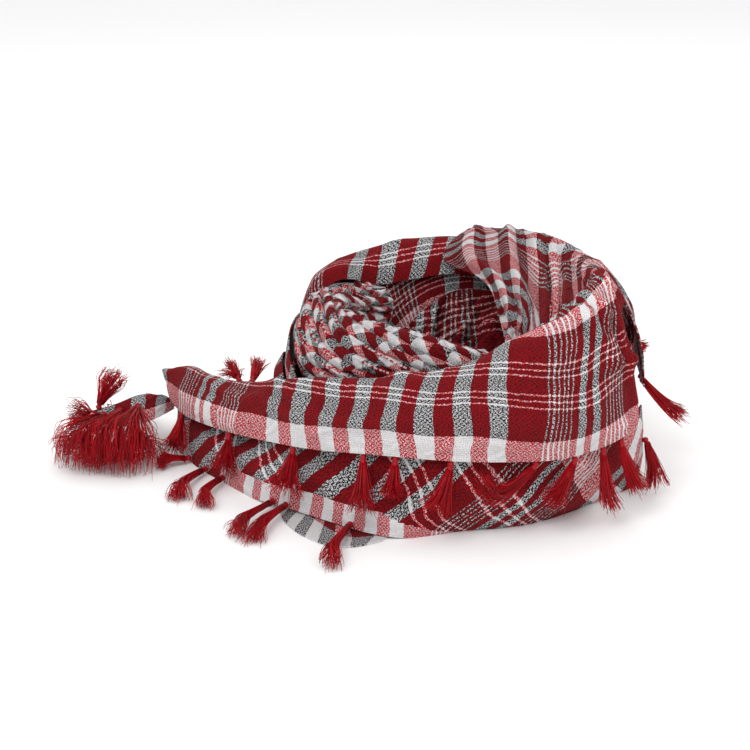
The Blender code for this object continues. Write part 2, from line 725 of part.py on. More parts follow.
def main():
    """Builds every stretch, the hidden layers and the tassels."""
    for old in list(bpy.data.objects):
        bpy.data.objects.remove(old)
    red = material("red_check", RED_COTTON)
    grey = material("grey_check", GREY_COTTON)
    crimson = material("tassel_red", TASSEL_RED)
    front = Cut(stretch(FRONT_WRAP), FRONT_FOLDS, FRONT_CELLS)
    panel = Cut(stretch(LOWER_PANEL), PANEL_FOLDS, PANEL_CELLS)
    fan = Cut(stretch(PLEAT_FAN), FAN_FOLDS, FAN_CELLS)
    corner = Cut(stretch(TAIL_CORNER), (), CORNER_CELLS)
    add_piece("front_wrap", wall(front), red)
    add_piece("back_wrap", wall(Cut(stretch(BACK_WRAP), BACK_FOLDS, BACK_CELLS)), red)
    add_piece("lower_panel", wall(panel), red)
    add_piece("under_layer", wall(Cut(stretch(UNDER_LAYER), (), UNDER_CELLS)), grey)
    add_piece("pleat_fan", wall(fan), red)
    add_piece("side_loop", wall(Cut(stretch(SIDE_LOOP), (), SIDE_LOOP_CELLS)), grey)
    add_piece("small_loop", wall(Cut(stretch(SMALL_LOOP), (), SMALL_LOOP_CELLS)), grey)
    add_piece("tail_corner", wall(corner), red)
    add_piece("twisted_strand", strand(STRAND, STRAND_CELLS), grey)
    add_piece("nest_lining", nest_lining(NEST_CELLS), red)
    add_piece("hidden_layers", hidden_layers(NEST_CELLS), red)
    add_piece("tail_mound", tail_mound(TAIL_MOUND, MOUND_CELLS), red)
    shapes = hem_tassels(front, WRAP_TASSELS)
    shapes += laid_tassels(front, WRAP_TOP_TASSELS)
    shapes += floor_tassels(panel, PANEL_TASSELS)
    shapes += laid_tassels(panel, PANEL_SIDE_TASSELS)
    shapes += hem_tassels(fan, FAN_TASSELS)
    shapes += hem_tassels(corner, CORNER_FRONT_TASSELS)
    shapes += hem_tassels(corner, CORNER_BACK_TASSELS, share=1.0)
    shapes += laid_tassels(corner, CORNER_TOP_TASSELS)
    for number, shape in enumerate(shapes, 1):
        add_piece(f"tassel_{number:02d}", shape, crimson)


if __name__ == "__main__":
    main()
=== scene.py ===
"""Looks of a keffiyeh headscarf that lies wound into a ring: woven check, crumpled cloth and tassels.

Tables are in millimetres on the ring's own axis, +X right, -Y front, +Z up, and 0 on the floor.
A station is a bearing round the ring in degrees: 0 at the front, 90 right, 180 back, -90 left.
A share runs across the cloth from 0 at its hem or foot to 1 at its far edge.
Every stretch of cloth is a thin closed shell on a smooth surface through its sections.
"""

import logging
import math
from dataclasses import dataclass, field
from enum import Enum
from typing import Any, Callable, Sequence

import bpy
import numpy as np
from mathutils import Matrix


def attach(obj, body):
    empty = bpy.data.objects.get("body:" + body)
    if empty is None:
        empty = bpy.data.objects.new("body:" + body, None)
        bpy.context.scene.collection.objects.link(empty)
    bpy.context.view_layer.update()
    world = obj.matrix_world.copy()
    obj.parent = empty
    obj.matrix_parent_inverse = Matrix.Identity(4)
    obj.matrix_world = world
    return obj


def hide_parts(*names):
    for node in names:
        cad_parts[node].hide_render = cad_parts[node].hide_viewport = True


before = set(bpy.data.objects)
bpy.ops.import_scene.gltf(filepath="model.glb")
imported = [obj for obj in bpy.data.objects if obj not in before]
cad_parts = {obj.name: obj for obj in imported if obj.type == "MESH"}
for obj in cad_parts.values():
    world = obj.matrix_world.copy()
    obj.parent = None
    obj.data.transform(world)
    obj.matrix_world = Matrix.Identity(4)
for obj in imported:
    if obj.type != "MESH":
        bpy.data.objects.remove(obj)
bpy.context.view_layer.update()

log = logging.getLogger("headscarf")

MM = 0.001
CENTRE = (-73.824, -7.809)  # middle of the floor under the whole scarf
CAD_WALL = 1.6  # wall of the nodes
SKIN = 1.2  # wall of the pieces
FLOOR_GAP = 1.5  # height of the knots on the floor over it
TURN_STEP = 0.5  # degrees to each side from which a normal is worked out
SHARE_STEP = 0.004  # the same across the cloth, as a share
EDGE_STEP = 0.01  # share of the cloth that gives a hem's own direction
HEM_GAP = 0.9  # gap between a hem and its knots
FLOOR_KNOT_GAP = 0.75  # the same for the knots on the floor
HEM_LEAN = 0.25  # how far a hem's knots lean out of the cloth
FLOOR_KNOT_SHARE = 0.06  # share up the cloth at which the knots on the floor lie
HEM_CALM = 24.0  # distance over which the threads' uneven run grows from the hem
END_STEP = 0.3  # how far inside a rounded end its first section is
KNOT_RADIUS = 4.0
KNOT_TURN = 0.8  # how far a head turns towards its tip
STRAND_PULL = 1.1  # how far the floss keeps to the head's direction
FLATNESS = 0.6  # height of a bundle over its width
WAVES = 24  # count of waves in an uneven field
WAVE_PACES = (0.6, 1.4)  # slowest and fastest of them over the mean
SHARP_ANGLE = 55.0  # degrees over which a rim stays sharp
CLOTH_MAP = "cloth"
# Mesh attribute that carries painted shade in the cloth's hollows and creases into its colour.
PAINTED_SHADE_MAP = "painted_crease_shade"
PAINTED_SHADE_PER_MM = 0.34  # painted shade: light taken off the colour for each mm that the cloth round a place stands over it
PAINTED_SHADE_REACH = 4.0  # how far round the place that is measured for the painted shade
PAINTED_SHADE_RANGE = (0.15, 1.08)  # least and most brightness that the painted shade leaves

Array = np.ndarray
Cells = tuple[int, int]
Pair = tuple[float, float]
Three = tuple[float, float, float]
Four = tuple[float, float, float, float]
Rows = Sequence[tuple]
Shape = Callable[[Array, Array], Array]


def bend(station: float, *places: tuple) -> tuple:
    """Row of a section round the ring: each place is a radius, a height and, off the station, a bearing."""
    points = []
    for radius, height, *other in places:
        angle = math.radians(other[0] if other else station)
        points.append((radius * math.sin(angle), -radius * math.cos(angle), height))
    return station, *points


def unit(vectors: Array) -> Array:
    """Vectors scaled to length one."""
    return vectors / np.maximum(np.linalg.norm(vectors, axis=-1, keepdims=True), 1e-9)


def ease(values: Array) -> Array:
    """Smooth step from 0 to 1: 3 t^2 - 2 t^3 of the values held between 0 and 1."""
    t = np.clip(values, 0.0, 1.0)
    return t * t * (3.0 - 2.0 * t)


def spline_weights(knots: Array, places: Array) -> Array:
    """Weights that carry values at the knots to a natural cubic spline at the places.

    Args:
        knots: rising places of the given values.
        places: places that the spline is read at.

    Returns:
        One row of weights for each place.
    """
    count = len(knots)
    step = np.diff(knots)
    system = np.eye(count)
    change = np.zeros((count, count))
    for i in range(1, count - 1):
        system[i, i - 1 : i + 2] = step[i - 1], 2 * (step[i - 1] + step[i]), step[i]
        change[i, i - 1 : i + 2] = 6 / step[i - 1], -6 / step[i - 1] - 6 / step[i], 6 / step[i]
    second = np.linalg.solve(system, change)
    span = np.clip(np.searchsorted(knots, places, side="right") - 1, 0, count - 2)
    width = step[span][:, None]
    after = ((places - knots[span]) / step[span])[:, None]
    before = 1 - after
    own = np.eye(count)
    curve = (before**3 - before) * second[span] + (after**3 - after) * second[span + 1]
    return before * own[span] + after * own[span + 1] + curve * width**2 / 6


def soft_field(places: Array, seed: int, size: float, lean: float, length: float) -> Array:
    """Uneven smooth field of unit spread over flat cloth.

    It is the root of 2 / n times the sum of n cosines of wave vector . place + phase, with wave
    vectors in every direction, squeezed along the lean so that the crests run that way.

    Args:
        places: places on the cloth, in mm, two numbers each.
        seed: start of the random draws.
        size: mean distance from crest to crest, in mm.
        lean: direction of the crests, in degrees from the cloth's length.
        length: how many times longer than wide the crests are.

    Returns:
        One value for each place.
    """
    draw = np.random.default_rng(seed)
    bearing = draw.uniform(0, 2 * math.pi, WAVES)
    pace = 2 * math.pi / size * draw.uniform(*WAVE_PACES, WAVES)
    phase = draw.uniform(0, 2 * math.pi, WAVES)
    along, across = pace * np.cos(bearing) / length, pace * np.sin(bearing)
    turn = math.radians(lean)
    waves = np.stack([
        along * math.cos(turn) - across * math.sin(turn),
        along * math.sin(turn) + across * math.cos(turn),
    ])
    return math.sqrt(2 / WAVES) * np.cos(places @ waves + phase).sum(axis=-1)


@dataclass(frozen=True)
class Fold:
    """A soft ridge between two places of a stretch: station, share across, width and height in mm."""

    station_a: float
    share_a: float
    station_b: float
    share_b: float
    width: float
    height: float


@dataclass(frozen=True)
class Crumple:
    """Small creases that come and go over a stretch.

    Attributes:
        seed: start of the random draws.
        size: distance between creases, in mm.
        height: height of a crease over the cloth round it, in mm.
        lean: direction of the creases, in degrees from the cloth's length.
        length: how many times longer than wide a crease is.
        sharp: width of a crease's crest, as a share of the field's spread.
    """

    seed: int
    size: float
    height: float
    lean: float = 0.0
    length: float = 2.5
    sharp: float = 0.45

    def lift(self, places: Array) -> Array:
        """Height at each place: a bell on the zero lines of one field, its strength from a second."""
        first = soft_field(places, self.seed, self.size * 2, self.lean, self.length)
        second = soft_field(places, self.seed + 1, self.size * 3, 0.0, 1.0)
        crest = np.exp(-((first / self.sharp) ** 2))
        return self.height * (crest - crest.mean()) * (0.55 + 0.45 * np.tanh(1.5 * second))


@dataclass(frozen=True)
class Stretch:
    """Sections of one stretch of cloth: their stations, where the lines lie across, and the points."""

    stations: Array
    shares: Array
    net: Array

    @classmethod
    def through(cls, rows: Rows) -> "Stretch":
        """Stretch through rows of a station and its points, the lines spaced by their mean lengths."""
        net = np.array([row[1:] for row in rows], float)
        steps = np.linalg.norm(np.diff(net, axis=1), axis=2).mean(axis=0)
        shares = np.concatenate([[0.0], np.cumsum(steps)]) / steps.sum()
        return cls(np.array([row[0] for row in rows], float), shares, net)

    def surface(self, stations: Array, shares: Array) -> Array:
        """Grid of points at every station and share: splines along the stations and across the shares."""
        along = spline_weights(self.stations, stations)
        across = spline_weights(self.shares, shares)
        return np.einsum("ua,abk,vb->uvk", along, self.net, across)

    def fold_heights(self, folds: Sequence[Fold], stations: Array, shares: Array) -> Array:
        """Height of the folds at each grid point: a bell across each ridge, fading out past its ends.

        Args:
            folds: ridges, or troughs where their height is below 0.
            stations: stations of the grid's rows.
            shares: shares of its columns.

        Returns:
            Heights in mm.
        """
        degree = np.linalg.norm(np.diff(self.net, axis=0), axis=2).mean() / np.diff(self.stations).mean()
        width = np.linalg.norm(np.diff(self.net, axis=1), axis=2).sum(axis=1).mean()
        places = np.stack(np.meshgrid(stations * degree, shares * width, indexing="ij"), axis=-1)
        total = np.zeros(places.shape[:2])
        for fold in folds:
            start = np.array([fold.station_a * degree, fold.share_a * width])
            run = np.array([fold.station_b * degree, fold.share_b * width]) - start
            t = np.clip((places - start) @ run / (run @ run), 0, 1)
            away = np.linalg.norm(places - start - t[..., None] * run, axis=-1)
            total += fold.height * np.exp(-((away / fold.width) ** 2))
        return total


def facing(shape: Shape, stations: Array, shares: Array) -> Array:
    """Unit normals of a shape, from its tangents along the ring and across the cloth."""
    along = shape(stations + TURN_STEP, shares) - shape(stations - TURN_STEP, shares)
    across = shape(stations, shares + SHARE_STEP) - shape(stations, shares - SHARE_STEP)
    return unit(np.cross(along, across))


def grid_facing(points: Array, closed: bool) -> Array:
    """Unit normals of a grid of points, from the differences between its neighbours.

    Args:
        points: grid of points, rows along the ring and columns across the cloth.
        closed: whether the rows join round.

    Returns:
        Grid of unit vectors out of the visible side.
    """
    if closed:
        along = np.roll(points, -1, axis=0) - np.roll(points, 1, axis=0)
    else:
        along = np.gradient(points, axis=0)
    return unit(np.cross(along, np.gradient(points, axis=1)))


def crease_lift(crumples: Sequence[Crumple], places: Array) -> Array:
    """Height of all the small creases together at each place."""
    return sum((crumple.lift(places) for crumple in crumples), np.zeros(places.shape[:-1]))


def between(values: Array, last: Any, near: float, far: float) -> Array:
    """Share that rises from 0 over the near length, and falls to 0 at the last value over the far one."""
    return ease(values / near) * ease((last - values) / far)


def rounded_end(distance: Array, length: float) -> Array:
    """Share of its size that a section has near an end: the root of 1 - (1 - t)^2, like a ball's."""
    t = np.clip((distance + END_STEP) / length, 0.0, 1.0)
    return np.sqrt(1 - (1 - t) ** 2)


def skin(visible: Array, out: Array) -> Array:
    """Hidden and visible grid of a skin, the hidden one SKIN behind, and neither below the floor."""
    sides = np.stack([visible - out * SKIN, visible])
    sides[..., 2] = np.maximum(sides[..., 2], 0.0)
    return sides


def mean_places(points: Array) -> Array:
    """Place on the cloth of every grid point: the mean lengths along and across to it, in mm."""
    along = np.linalg.norm(np.diff(points, axis=0), axis=2).mean(axis=1).cumsum()
    across = np.linalg.norm(np.diff(points, axis=1), axis=2).mean(axis=0).cumsum()
    grid = np.meshgrid(np.concatenate([[0.0], along]), np.concatenate([[0.0], across]), indexing="ij")
    return np.stack(grid, axis=-1)


def painted_crease_shade(points: Array, closed: tuple[bool, bool]) -> Array:
    """Painted shade in the cloth's hollows and creases: darker where the points a few mm round lie above.

    It is 1 less the painted shade for each mm times the height of the mean of four neighbours over the
    point's own tangent plane, held within the painted shade's least and most brightness.

    Args:
        points: grid of points.
        closed: whether the rows and whether the columns join round.

    Returns:
        One number for each point.
    """
    out = grid_facing(points, closed[0])
    total = -4.0 * points
    for axis in (0, 1):
        pace = np.linalg.norm(np.diff(points, axis=axis), axis=2).mean()
        reach = max(1, int(round(PAINTED_SHADE_REACH / pace)))
        room = [(0, 0), (0, 0), (0, 0)]
        room[axis] = (reach, reach)
        options = {"mode": "wrap"} if closed[axis] else {"mode": "reflect", "reflect_type": "odd"}
        padded = np.pad(points, room, **options)
        near = np.arange(points.shape[axis])
        total += np.take(padded, near, axis=axis) + np.take(padded, near + 2 * reach, axis=axis)
    above = (total / 4.0 * out).sum(axis=-1)
    return np.clip(1.0 - PAINTED_SHADE_PER_MM * above, *PAINTED_SHADE_RANGE)


def rim_edges(rows: int, columns: int, closed: tuple[bool, bool]) -> Array:
    """Edges round the open borders of a grid, each from one row and column to the next.

    Args:
        rows: count of rows.
        columns: count of columns.
        closed: whether the rows and whether the columns join round.

    Returns:
        Array of edges, two places each, ordered so that a wall's rim faces outward.
    """
    i, j = np.arange(rows + 1), np.arange(columns + 1)
    last_row, last_column = rows - 1, columns - 1
    edges = []
    if not closed[1]:
        run = i if closed[0] else i[:rows]
        foot = np.stack([run, np.zeros_like(run)], axis=-1)
        head = np.stack([run, np.full_like(run, last_column)], axis=-1)
        edges += [np.stack([foot[:-1], foot[1:]], axis=1), np.stack([head[1:], head[:-1]], axis=1)]
    if not closed[0]:
        run = j if closed[1] else j[:columns]
        first = np.stack([np.zeros_like(run), run], axis=-1)
        last = np.stack([np.full_like(run, last_row), run], axis=-1)
        edges += [np.stack([last[:-1], last[1:]], axis=1), np.stack([first[1:], first[:-1]], axis=1)]
    return np.concatenate(edges)


def make_object(
    name: str, points: Array, faces: list, uvs: Array, finish: Any, rimmed: bool = True
) -> Any:
    """Object of points in mm on the ring's axis, placed so that the floor's middle is the origin.

    Args:
        name: name of the object.
        points: its points, three numbers each.
        faces: its faces, outward.
        uvs: place on the cloth of each corner of each face, in mm.
        finish: its material.
        rimmed: whether its rims stay sharp.

    Returns:
        The new object, shaded smooth.
    """
    mesh = bpy.data.meshes.new(name)
    place = (points.reshape(-1, 3) - [*CENTRE, 0.0]) * MM
    mesh.from_pydata(place.tolist(), [], faces)
    layer = mesh.uv_layers.new(name=CLOTH_MAP)
    layer.data.foreach_set("uv", uvs.astype(np.float32).ravel())
    mesh.materials.append(finish)
    mesh.shade_smooth()
    if rimmed:
        mesh.set_sharp_from_angle(angle=math.radians(SHARP_ANGLE))
    mesh.update()
    body = bpy.data.objects.new(name, mesh)
    bpy.context.scene.collection.objects.link(body)
    return body


def make_shell(
    name: str, sides: Array, maps: Array, which: Array, closed: tuple[bool, bool], finish: Any
) -> Any:
    """Closed thin shell between a hidden and a visible grid of points.

    Args:
        name: name of the object.
        sides: grids of points of the hidden and of the visible side.
        maps: places on the cloth for each choice of map, one row or column more where a grid is closed.
        which: choice of map for each cell of the grid.
        closed: whether the rows and whether the columns join round.
        finish: its material.

    Returns:
        The new object.
    """
    rows, columns = sides.shape[1:3]
    i, j = np.indices(which.shape)
    at_row, at_column = np.stack([i, i + 1, i + 1, i]), np.stack([j, j, j + 1, j + 1])
    corners = (at_row % rows) * columns + at_column % columns
    places = maps[which[None], at_row, at_column]
    outer = np.moveaxis(corners, 0, -1).reshape(-1, 4)
    outer_map = np.moveaxis(places, 0, -2).reshape(-1, 4, 2)
    edges = rim_edges(rows, columns, closed)
    ring = (edges[..., 0] % rows) * columns + edges[..., 1] % columns
    back = rows * columns
    rim = np.concatenate([ring, ring[:, ::-1] + back], axis=1)
    edge_map = maps[0][edges[..., 0], edges[..., 1]]
    rim_map = np.concatenate([edge_map, edge_map[:, ::-1]], axis=1)
    faces = np.concatenate([outer[:, [0, 3, 2, 1]], outer + back, rim])
    uvs = np.concatenate([outer_map[:, [0, 3, 2, 1]], outer_map, rim_map])
    piece = make_object(name, sides, faces.tolist(), uvs, finish)
    # Painted shade of the hollows and creases on every point, which the cloth's colour is multiplied by.
    layer = piece.data.attributes.new(PAINTED_SHADE_MAP, "FLOAT", "POINT")
    layer.data.foreach_set("value", np.tile(painted_crease_shade(sides[1], closed).ravel(), 2).astype(np.float32))
    return piece


def math_operator(operation: str, reflected: bool = False) -> Callable[["Signal", Any], "Signal"]:
    """Operator of a signal that adds a Math node, with its two sides changed over where it is reflected."""

    def apply(own: "Signal", other: Any) -> "Signal":
        """Adds the node on the signal's own board."""
        sides = (other, own) if reflected else (own, other)
        return own.board.maths(operation, *sides)

    return apply


class Signal:
    """Number on its way through a shader, whose operators add Math nodes."""

    __add__, __radd__ = math_operator("ADD"), math_operator("ADD", True)
    __sub__, __rsub__ = math_operator("SUBTRACT"), math_operator("SUBTRACT", True)
    __mul__, __rmul__ = math_operator("MULTIPLY"), math_operator("MULTIPLY", True)
    __truediv__, __gt__ = math_operator("DIVIDE"), math_operator("GREATER_THAN")

    def __init__(self, board: "Board", socket: Any) -> None:
        """Keeps the board that it is on and the socket that it comes from."""
        self.board = board
        self.socket = socket

    def __abs__(self) -> "Signal":
        """Size without its sign."""
        return self.board.maths("ABSOLUTE", self)


class Board:
    """Node tree of one material."""

    def __init__(self, name: str) -> None:
        """Makes the material and finds its shader."""
        self.material = bpy.data.materials.new(name)
        self.material.use_nodes = True
        self.tree = self.material.node_tree
        self.shader = self.tree.nodes["Principled BSDF"]

    def feed(self, socket: Any, value: Any) -> None:
        """Links a signal to a socket, or sets a constant on it."""
        if isinstance(value, Signal):
            self.tree.links.new(value.socket, socket)
        else:
            socket.default_value = value

    def node(self, kind: str, settings: dict, sockets: dict, output: int = 0) -> Signal:
        """Node of any type.

        Args:
            kind: type of the node.
            settings: its own settings, or stops, a ramp's pairs of place and value.
            sockets: values or signals of its inputs, by name or number.
            output: number of the output that is wanted.

        Returns:
            The signal of that output.
        """
        made = self.tree.nodes.new(kind)
        for key, value in settings.items():
            if key == "stops":
                self.set_stops(made.color_ramp, value)
            else:
                setattr(made, key, value)
        for key, value in sockets.items():
            self.feed(made.inputs[key], value)
        return Signal(self, made.outputs[output])

    def set_stops(self, ramp: Any, stops: Sequence[Pair]) -> None:
        """Gives a ramp steps of grey without blending."""
        ramp.interpolation = "CONSTANT"
        while len(ramp.elements) < len(stops):
            ramp.elements.new(0.5)
        for element, (place, value) in zip(ramp.elements, stops):
            element.position = place
            element.color = (value, value, value, 1.0)

    def mix(self, factor: Any, first: Any, second: Any) -> Signal:
        """Colour between two colours."""
        return self.node("ShaderNodeMix", {"data_type": "RGBA"}, {0: factor, 6: first, 7: second}, 2)

    def noise(self, vector: Any, scale: float, detail: float) -> Signal:
        """Noise texture on a vector, from 0 to 1."""
        sockets = {"Vector": vector, "Scale": scale, "Detail": detail}
        return self.node("ShaderNodeTexNoise", {"noise_dimensions": "3D"}, sockets)

    def maths(self, operation: str, *values: Any) -> Signal:
        """Math node on one or two numbers or signals."""
        return self.node("ShaderNodeMath", {"operation": operation}, dict(enumerate(values)))

    def bump(self, strength: float, distance: float, height: Signal) -> Signal:
        """Normal of a surface whose height varies."""
        sockets = {"Strength": strength, "Distance": distance, "Height": height}
        return self.node("ShaderNodeBump", {}, sockets)

    def finish(self, sockets: dict) -> Any:
        """Feeds the shader and returns the material."""
        for key, value in sockets.items():
            self.feed(self.shader.inputs[key], value)
        return self.material


def bands(widths: Sequence[Pair]) -> tuple[tuple[Pair, ...], float]:
    """Stops of a ramp and its whole length for bands of a width in mm and a value."""
    edges = np.concatenate([[0.0], np.cumsum([width for width, _ in widths])])
    total = float(edges[-1])
    return tuple((float(edge) / total, value) for edge, (_, value) in zip(edges, widths)), total


@dataclass(frozen=True)
class CheckFinish:
    """Woven cotton check: red and white warp, black and white weft, lighter where white threads cross.

    Attributes:
        name: name of the material.
        light: brightness of the whole, lower in the copies that paint shade deep in the nest and on the
            pleated fan.
        whole: side of the square cloth, in mm, whose four edges are alike.
        stripe: width of a plain stripe, in mm.
        line: width of a fine line, in mm.
        line_pace: distance from line to line in a six and in a border's three, in mm.
        wide_band: width of the dark band beside the eight stripes, in mm.
        pair: widths of the gap before a pair of bands, of one band and of half the gap in the pair, in mm.
        edge_bands: widths of a border's white edge and of its three dark bands, in mm.
        pitch: distance between warp threads and between weft threads, in mm.
        fleck: paces of the crepe's flecks for each mm of the warp's count and of the weft's.
        drift: pace for each mm and width in mm of the threads' small wanderings.
        lifts: how far the warp is up, by the crossings, by the flecks, everywhere, where it is white and
            where the weft is.
        soft: half width of the change from weft to warp.
        shades: brightness everywhere, by the flecks, by the slubs and lost in the gaps between threads.
        relief: heights of the threads and of the fine wrinkles.
        white: white threads over white.
        pale: white threads over black.
        red: red threads over white.
        deep_red: red threads over black.
        black: black threads.
    """

    name: str = "woven_check"
    light: float = 0.92
    whole: float = 1150.0
    stripe: float = 13.7
    line: float = 1.4
    line_pace: Pair = (4.5, 5.0)
    wide_band: float = 29.4
    pair: Three = (3.8, 7.7, 3.4)
    edge_bands: Four = (21.0, 26.0, 13.4, 23.0)
    pitch: Pair = (1.9, 1.7)
    fleck: Three = (0.90, 1.55, 1.0)
    drift: Pair = (0.14, 2.0)
    lifts: tuple[float, float, float, float, float] = (0.40, 4.8, 0.28, -0.40, 0.02)
    soft: float = 0.22
    shades: Four = (0.52, 0.84, 0.26, 0.16)
    relief: Pair = (0.5, 2.4)
    white: tuple = (0.68, 0.67, 0.68, 1.0)
    pale: tuple = (0.50, 0.50, 0.51, 1.0)
    red: tuple = (0.44, 0.008, 0.015, 1.0)
    deep_red: tuple = (0.225, 0.003, 0.006, 1.0)
    black: tuple = (0.009, 0.006, 0.008, 1.0)

    def half_repeat(self) -> list[Pair]:
        """Bands outward from the middle of the eight stripes: stripes, a wide band, six lines, a pair."""
        gap, band, half_gap = self.pair
        stripes = [(self.stripe, 1.0), (self.stripe, 0.0)] * 3 + [(self.stripe, 1.0)]
        lines = [(self.line, 1.0), (self.line_pace[0] - self.line, 0.0)] * 6
        ends = [(gap, 0.0), (band, 1.0), (half_gap, 0.0)]
        return [(self.stripe / 2, 0.0)] + stripes + [(self.wide_band, 0.0)] + lines + ends

    def border(self) -> list[Pair]:
        """Bands inward from the hem: a white edge, then two groups of three lines in black."""
        edge, outer, middle, inner = self.edge_bands
        three = [(self.line, 1.0), (self.line_pace[1] - self.line, 0.0)] * 2 + [(self.line, 1.0)]
        return [(edge, 1.0), (outer, 0.0)] + three + [(middle, 0.0)] + three + [(inner, 0.0)]

    def threads(self, board: Board, inward: Signal, place: Signal) -> Signal:
        """White share of one set of threads: the border's bands near the edge, otherwise the repeat's.

        Args:
            board: board that the nodes go on.
            inward: distance from the nearest edge, in mm.
            place: distance from the middle of the eight stripes, in mm.

        Returns:
            1 where the threads are white, otherwise 0.
        """
        edge, depth = bands(self.border())
        repeat, half = bands(self.half_repeat())
        inside = inward > depth
        mirrored = board.maths("PINGPONG", place, half)
        inner = board.node("ShaderNodeValToRGB", {"stops": repeat}, {0: mirrored / half})
        outer = board.node("ShaderNodeValToRGB", {"stops": edge}, {0: inward / depth})
        return inner * inside + outer * (1 - inside)

    def whites(self, board: Board, along: Signal, across: Signal) -> tuple[Signal, Signal]:
        """White shares of the warp and of the weft.

        Args:
            board: board that the nodes go on.
            along: the warp's count, in mm from the middle of its eight stripes at the cloth's middle.
            across: the weft's count, in mm from the hem.

        Returns:
            The two shares, 1 where the threads are white, otherwise 0.
        """
        middle = self.whole / 2
        warp_in = middle - abs(along)
        weft_in = middle - abs(across - middle)
        first_stripes = bands(self.border())[1] + 7.5 * self.stripe
        return self.threads(board, warp_in, along), self.threads(board, weft_in, weft_in - first_stripes)

    def build(self) -> Any:
        """Material whose pattern reads the piece's own map, in mm along the warp's count and the weft's,
        darkened by painted shade in the hollows and creases.
        """
        board = Board(self.name)
        cloth = board.node("ShaderNodeUVMap", {"uv_map": CLOTH_MAP}, {})
        pace, width = self.drift
        along = board.node("ShaderNodeSeparateXYZ", {}, {0: cloth}, 0)
        along = along + (board.noise(cloth, pace, 2.0) - 0.5) * width
        across = board.node("ShaderNodeSeparateXYZ", {}, {0: cloth}, 1)
        across = across + (board.noise(cloth, pace * 1.3, 2.0) - 0.5) * width
        warp_white, weft_white = self.whites(board, along, across)
        dashes = board.node("ShaderNodeVectorMath", {"operation": "MULTIPLY"}, {0: cloth, 1: self.fleck})
        fibre = board.noise(dashes, 1.0, 0.5)
        slub = board.noise(cloth, 0.06, 2.0)
        warp_wave = board.maths("SINE", along * (math.pi / self.pitch[0]))
        crossing = warp_wave * board.maths("SINE", across * (math.pi / self.pitch[1]))
        by_crossing, by_fleck, everywhere, by_warp, by_weft = self.lifts
        lifted = crossing * by_crossing + (fibre - 0.5) * by_fleck + everywhere
        lifted = lifted + warp_white * by_warp + weft_white * by_weft
        steps = {0: lifted, 1: -self.soft, 2: self.soft, 3: 0.0, 4: 1.0}
        over = board.node("ShaderNodeMapRange", {}, steps)
        red = board.mix(weft_white, self.deep_red, self.red)
        bleached = board.mix(weft_white, self.pale, self.white)
        warp = board.mix(warp_white, red, bleached)
        weft = board.mix(weft_white, self.black, self.white)
        # Painted shade of the cloth's hollows and creases, read from the mesh.
        painted_hollow_shade = board.node("ShaderNodeAttribute", {"attribute_name": PAINTED_SHADE_MAP}, {}, 2)
        gap = 1 - abs(crossing)
        base, flecked, slubbed, lost = self.shades
        # The whole's brightness is lower in the copies of this material that paint shade.
        shade = (base + flecked * fibre + slubbed * slub - gap * gap * lost) * painted_hollow_shade * self.light
        woven = {0: board.mix(over, weft, warp), 3: shade}
        height = abs(crossing) * self.relief[0] + board.noise(cloth, 0.16, 3.0) * self.relief[1]
        return board.finish({
            "Base Color": board.node("ShaderNodeVectorMath", {"operation": "SCALE"}, woven),
            "Roughness": 0.9,
            "Normal": board.bump(0.6, 0.0012, height),
            "Sheen Weight": 0.02,
            "Sheen Roughness": 0.5,
            "Specular IOR Level": 0.1,
        })


@dataclass(frozen=True)
class YarnFinish:
    """Crimson floss of the tassels, whose yarns differ a little in shade.

    Attributes:
        bright: lightest yarns.
        dark: darkest yarns.
        flecks: pace of the specks for each metre.
        shades: share of the bright yarn by the yarn's own number, by the specks and everywhere.
    """

    bright: tuple = (0.60, 0.001, 0.010, 1.0)
    dark: tuple = (0.08, 0.0003, 0.002, 1.0)
    flecks: float = 900.0
    shades: Three = (0.85, 0.5, -0.1)

    def build(self) -> Any:
        """Material whose shade comes from each yarn's own number on the map and fine noise along it."""
        board = Board("crimson_floss")
        own = board.node("ShaderNodeUVMap", {"uv_map": CLOTH_MAP}, {})
        number = board.node("ShaderNodeSeparateXYZ", {}, {0: own}, 0)
        fleck = board.noise(board.node("ShaderNodeTexCoord", {}, {}, 3), self.flecks, 2.0)
        by_number, by_fleck, everywhere = self.shades
        shade = number * by_number + fleck * by_fleck + everywhere
        return board.finish({
            "Base Color": board.mix(shade, self.dark, self.bright),
            "Roughness": 0.45,
            "Normal": board.bump(0.3, 0.0003, fleck),
            "Specular IOR Level": 0.25,
        })


class Held(Enum):
    """How a stretch is held."""

    DRAPED = "draped"
    FOLDED = "folded"
    GATHERED = "gathered"
    LAID = "laid"


def declare(piece: Any, node: str) -> None:
    """Rides a piece on the scarf and hides the node that it stands for."""
    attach(piece, "root")
    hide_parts(node)


def lay_sheet(
    piece: Any,
    node: str,
) -> Any:
    """Declares a stretch of cloth and logs its count of points.

    Args:
        piece: object of the cloth.
        node: node that it stands for.

    Returns:
        The same object.
    """
    declare(piece, node)
    log.info("%s: %d points", piece.name, len(piece.data.vertices))
    return piece


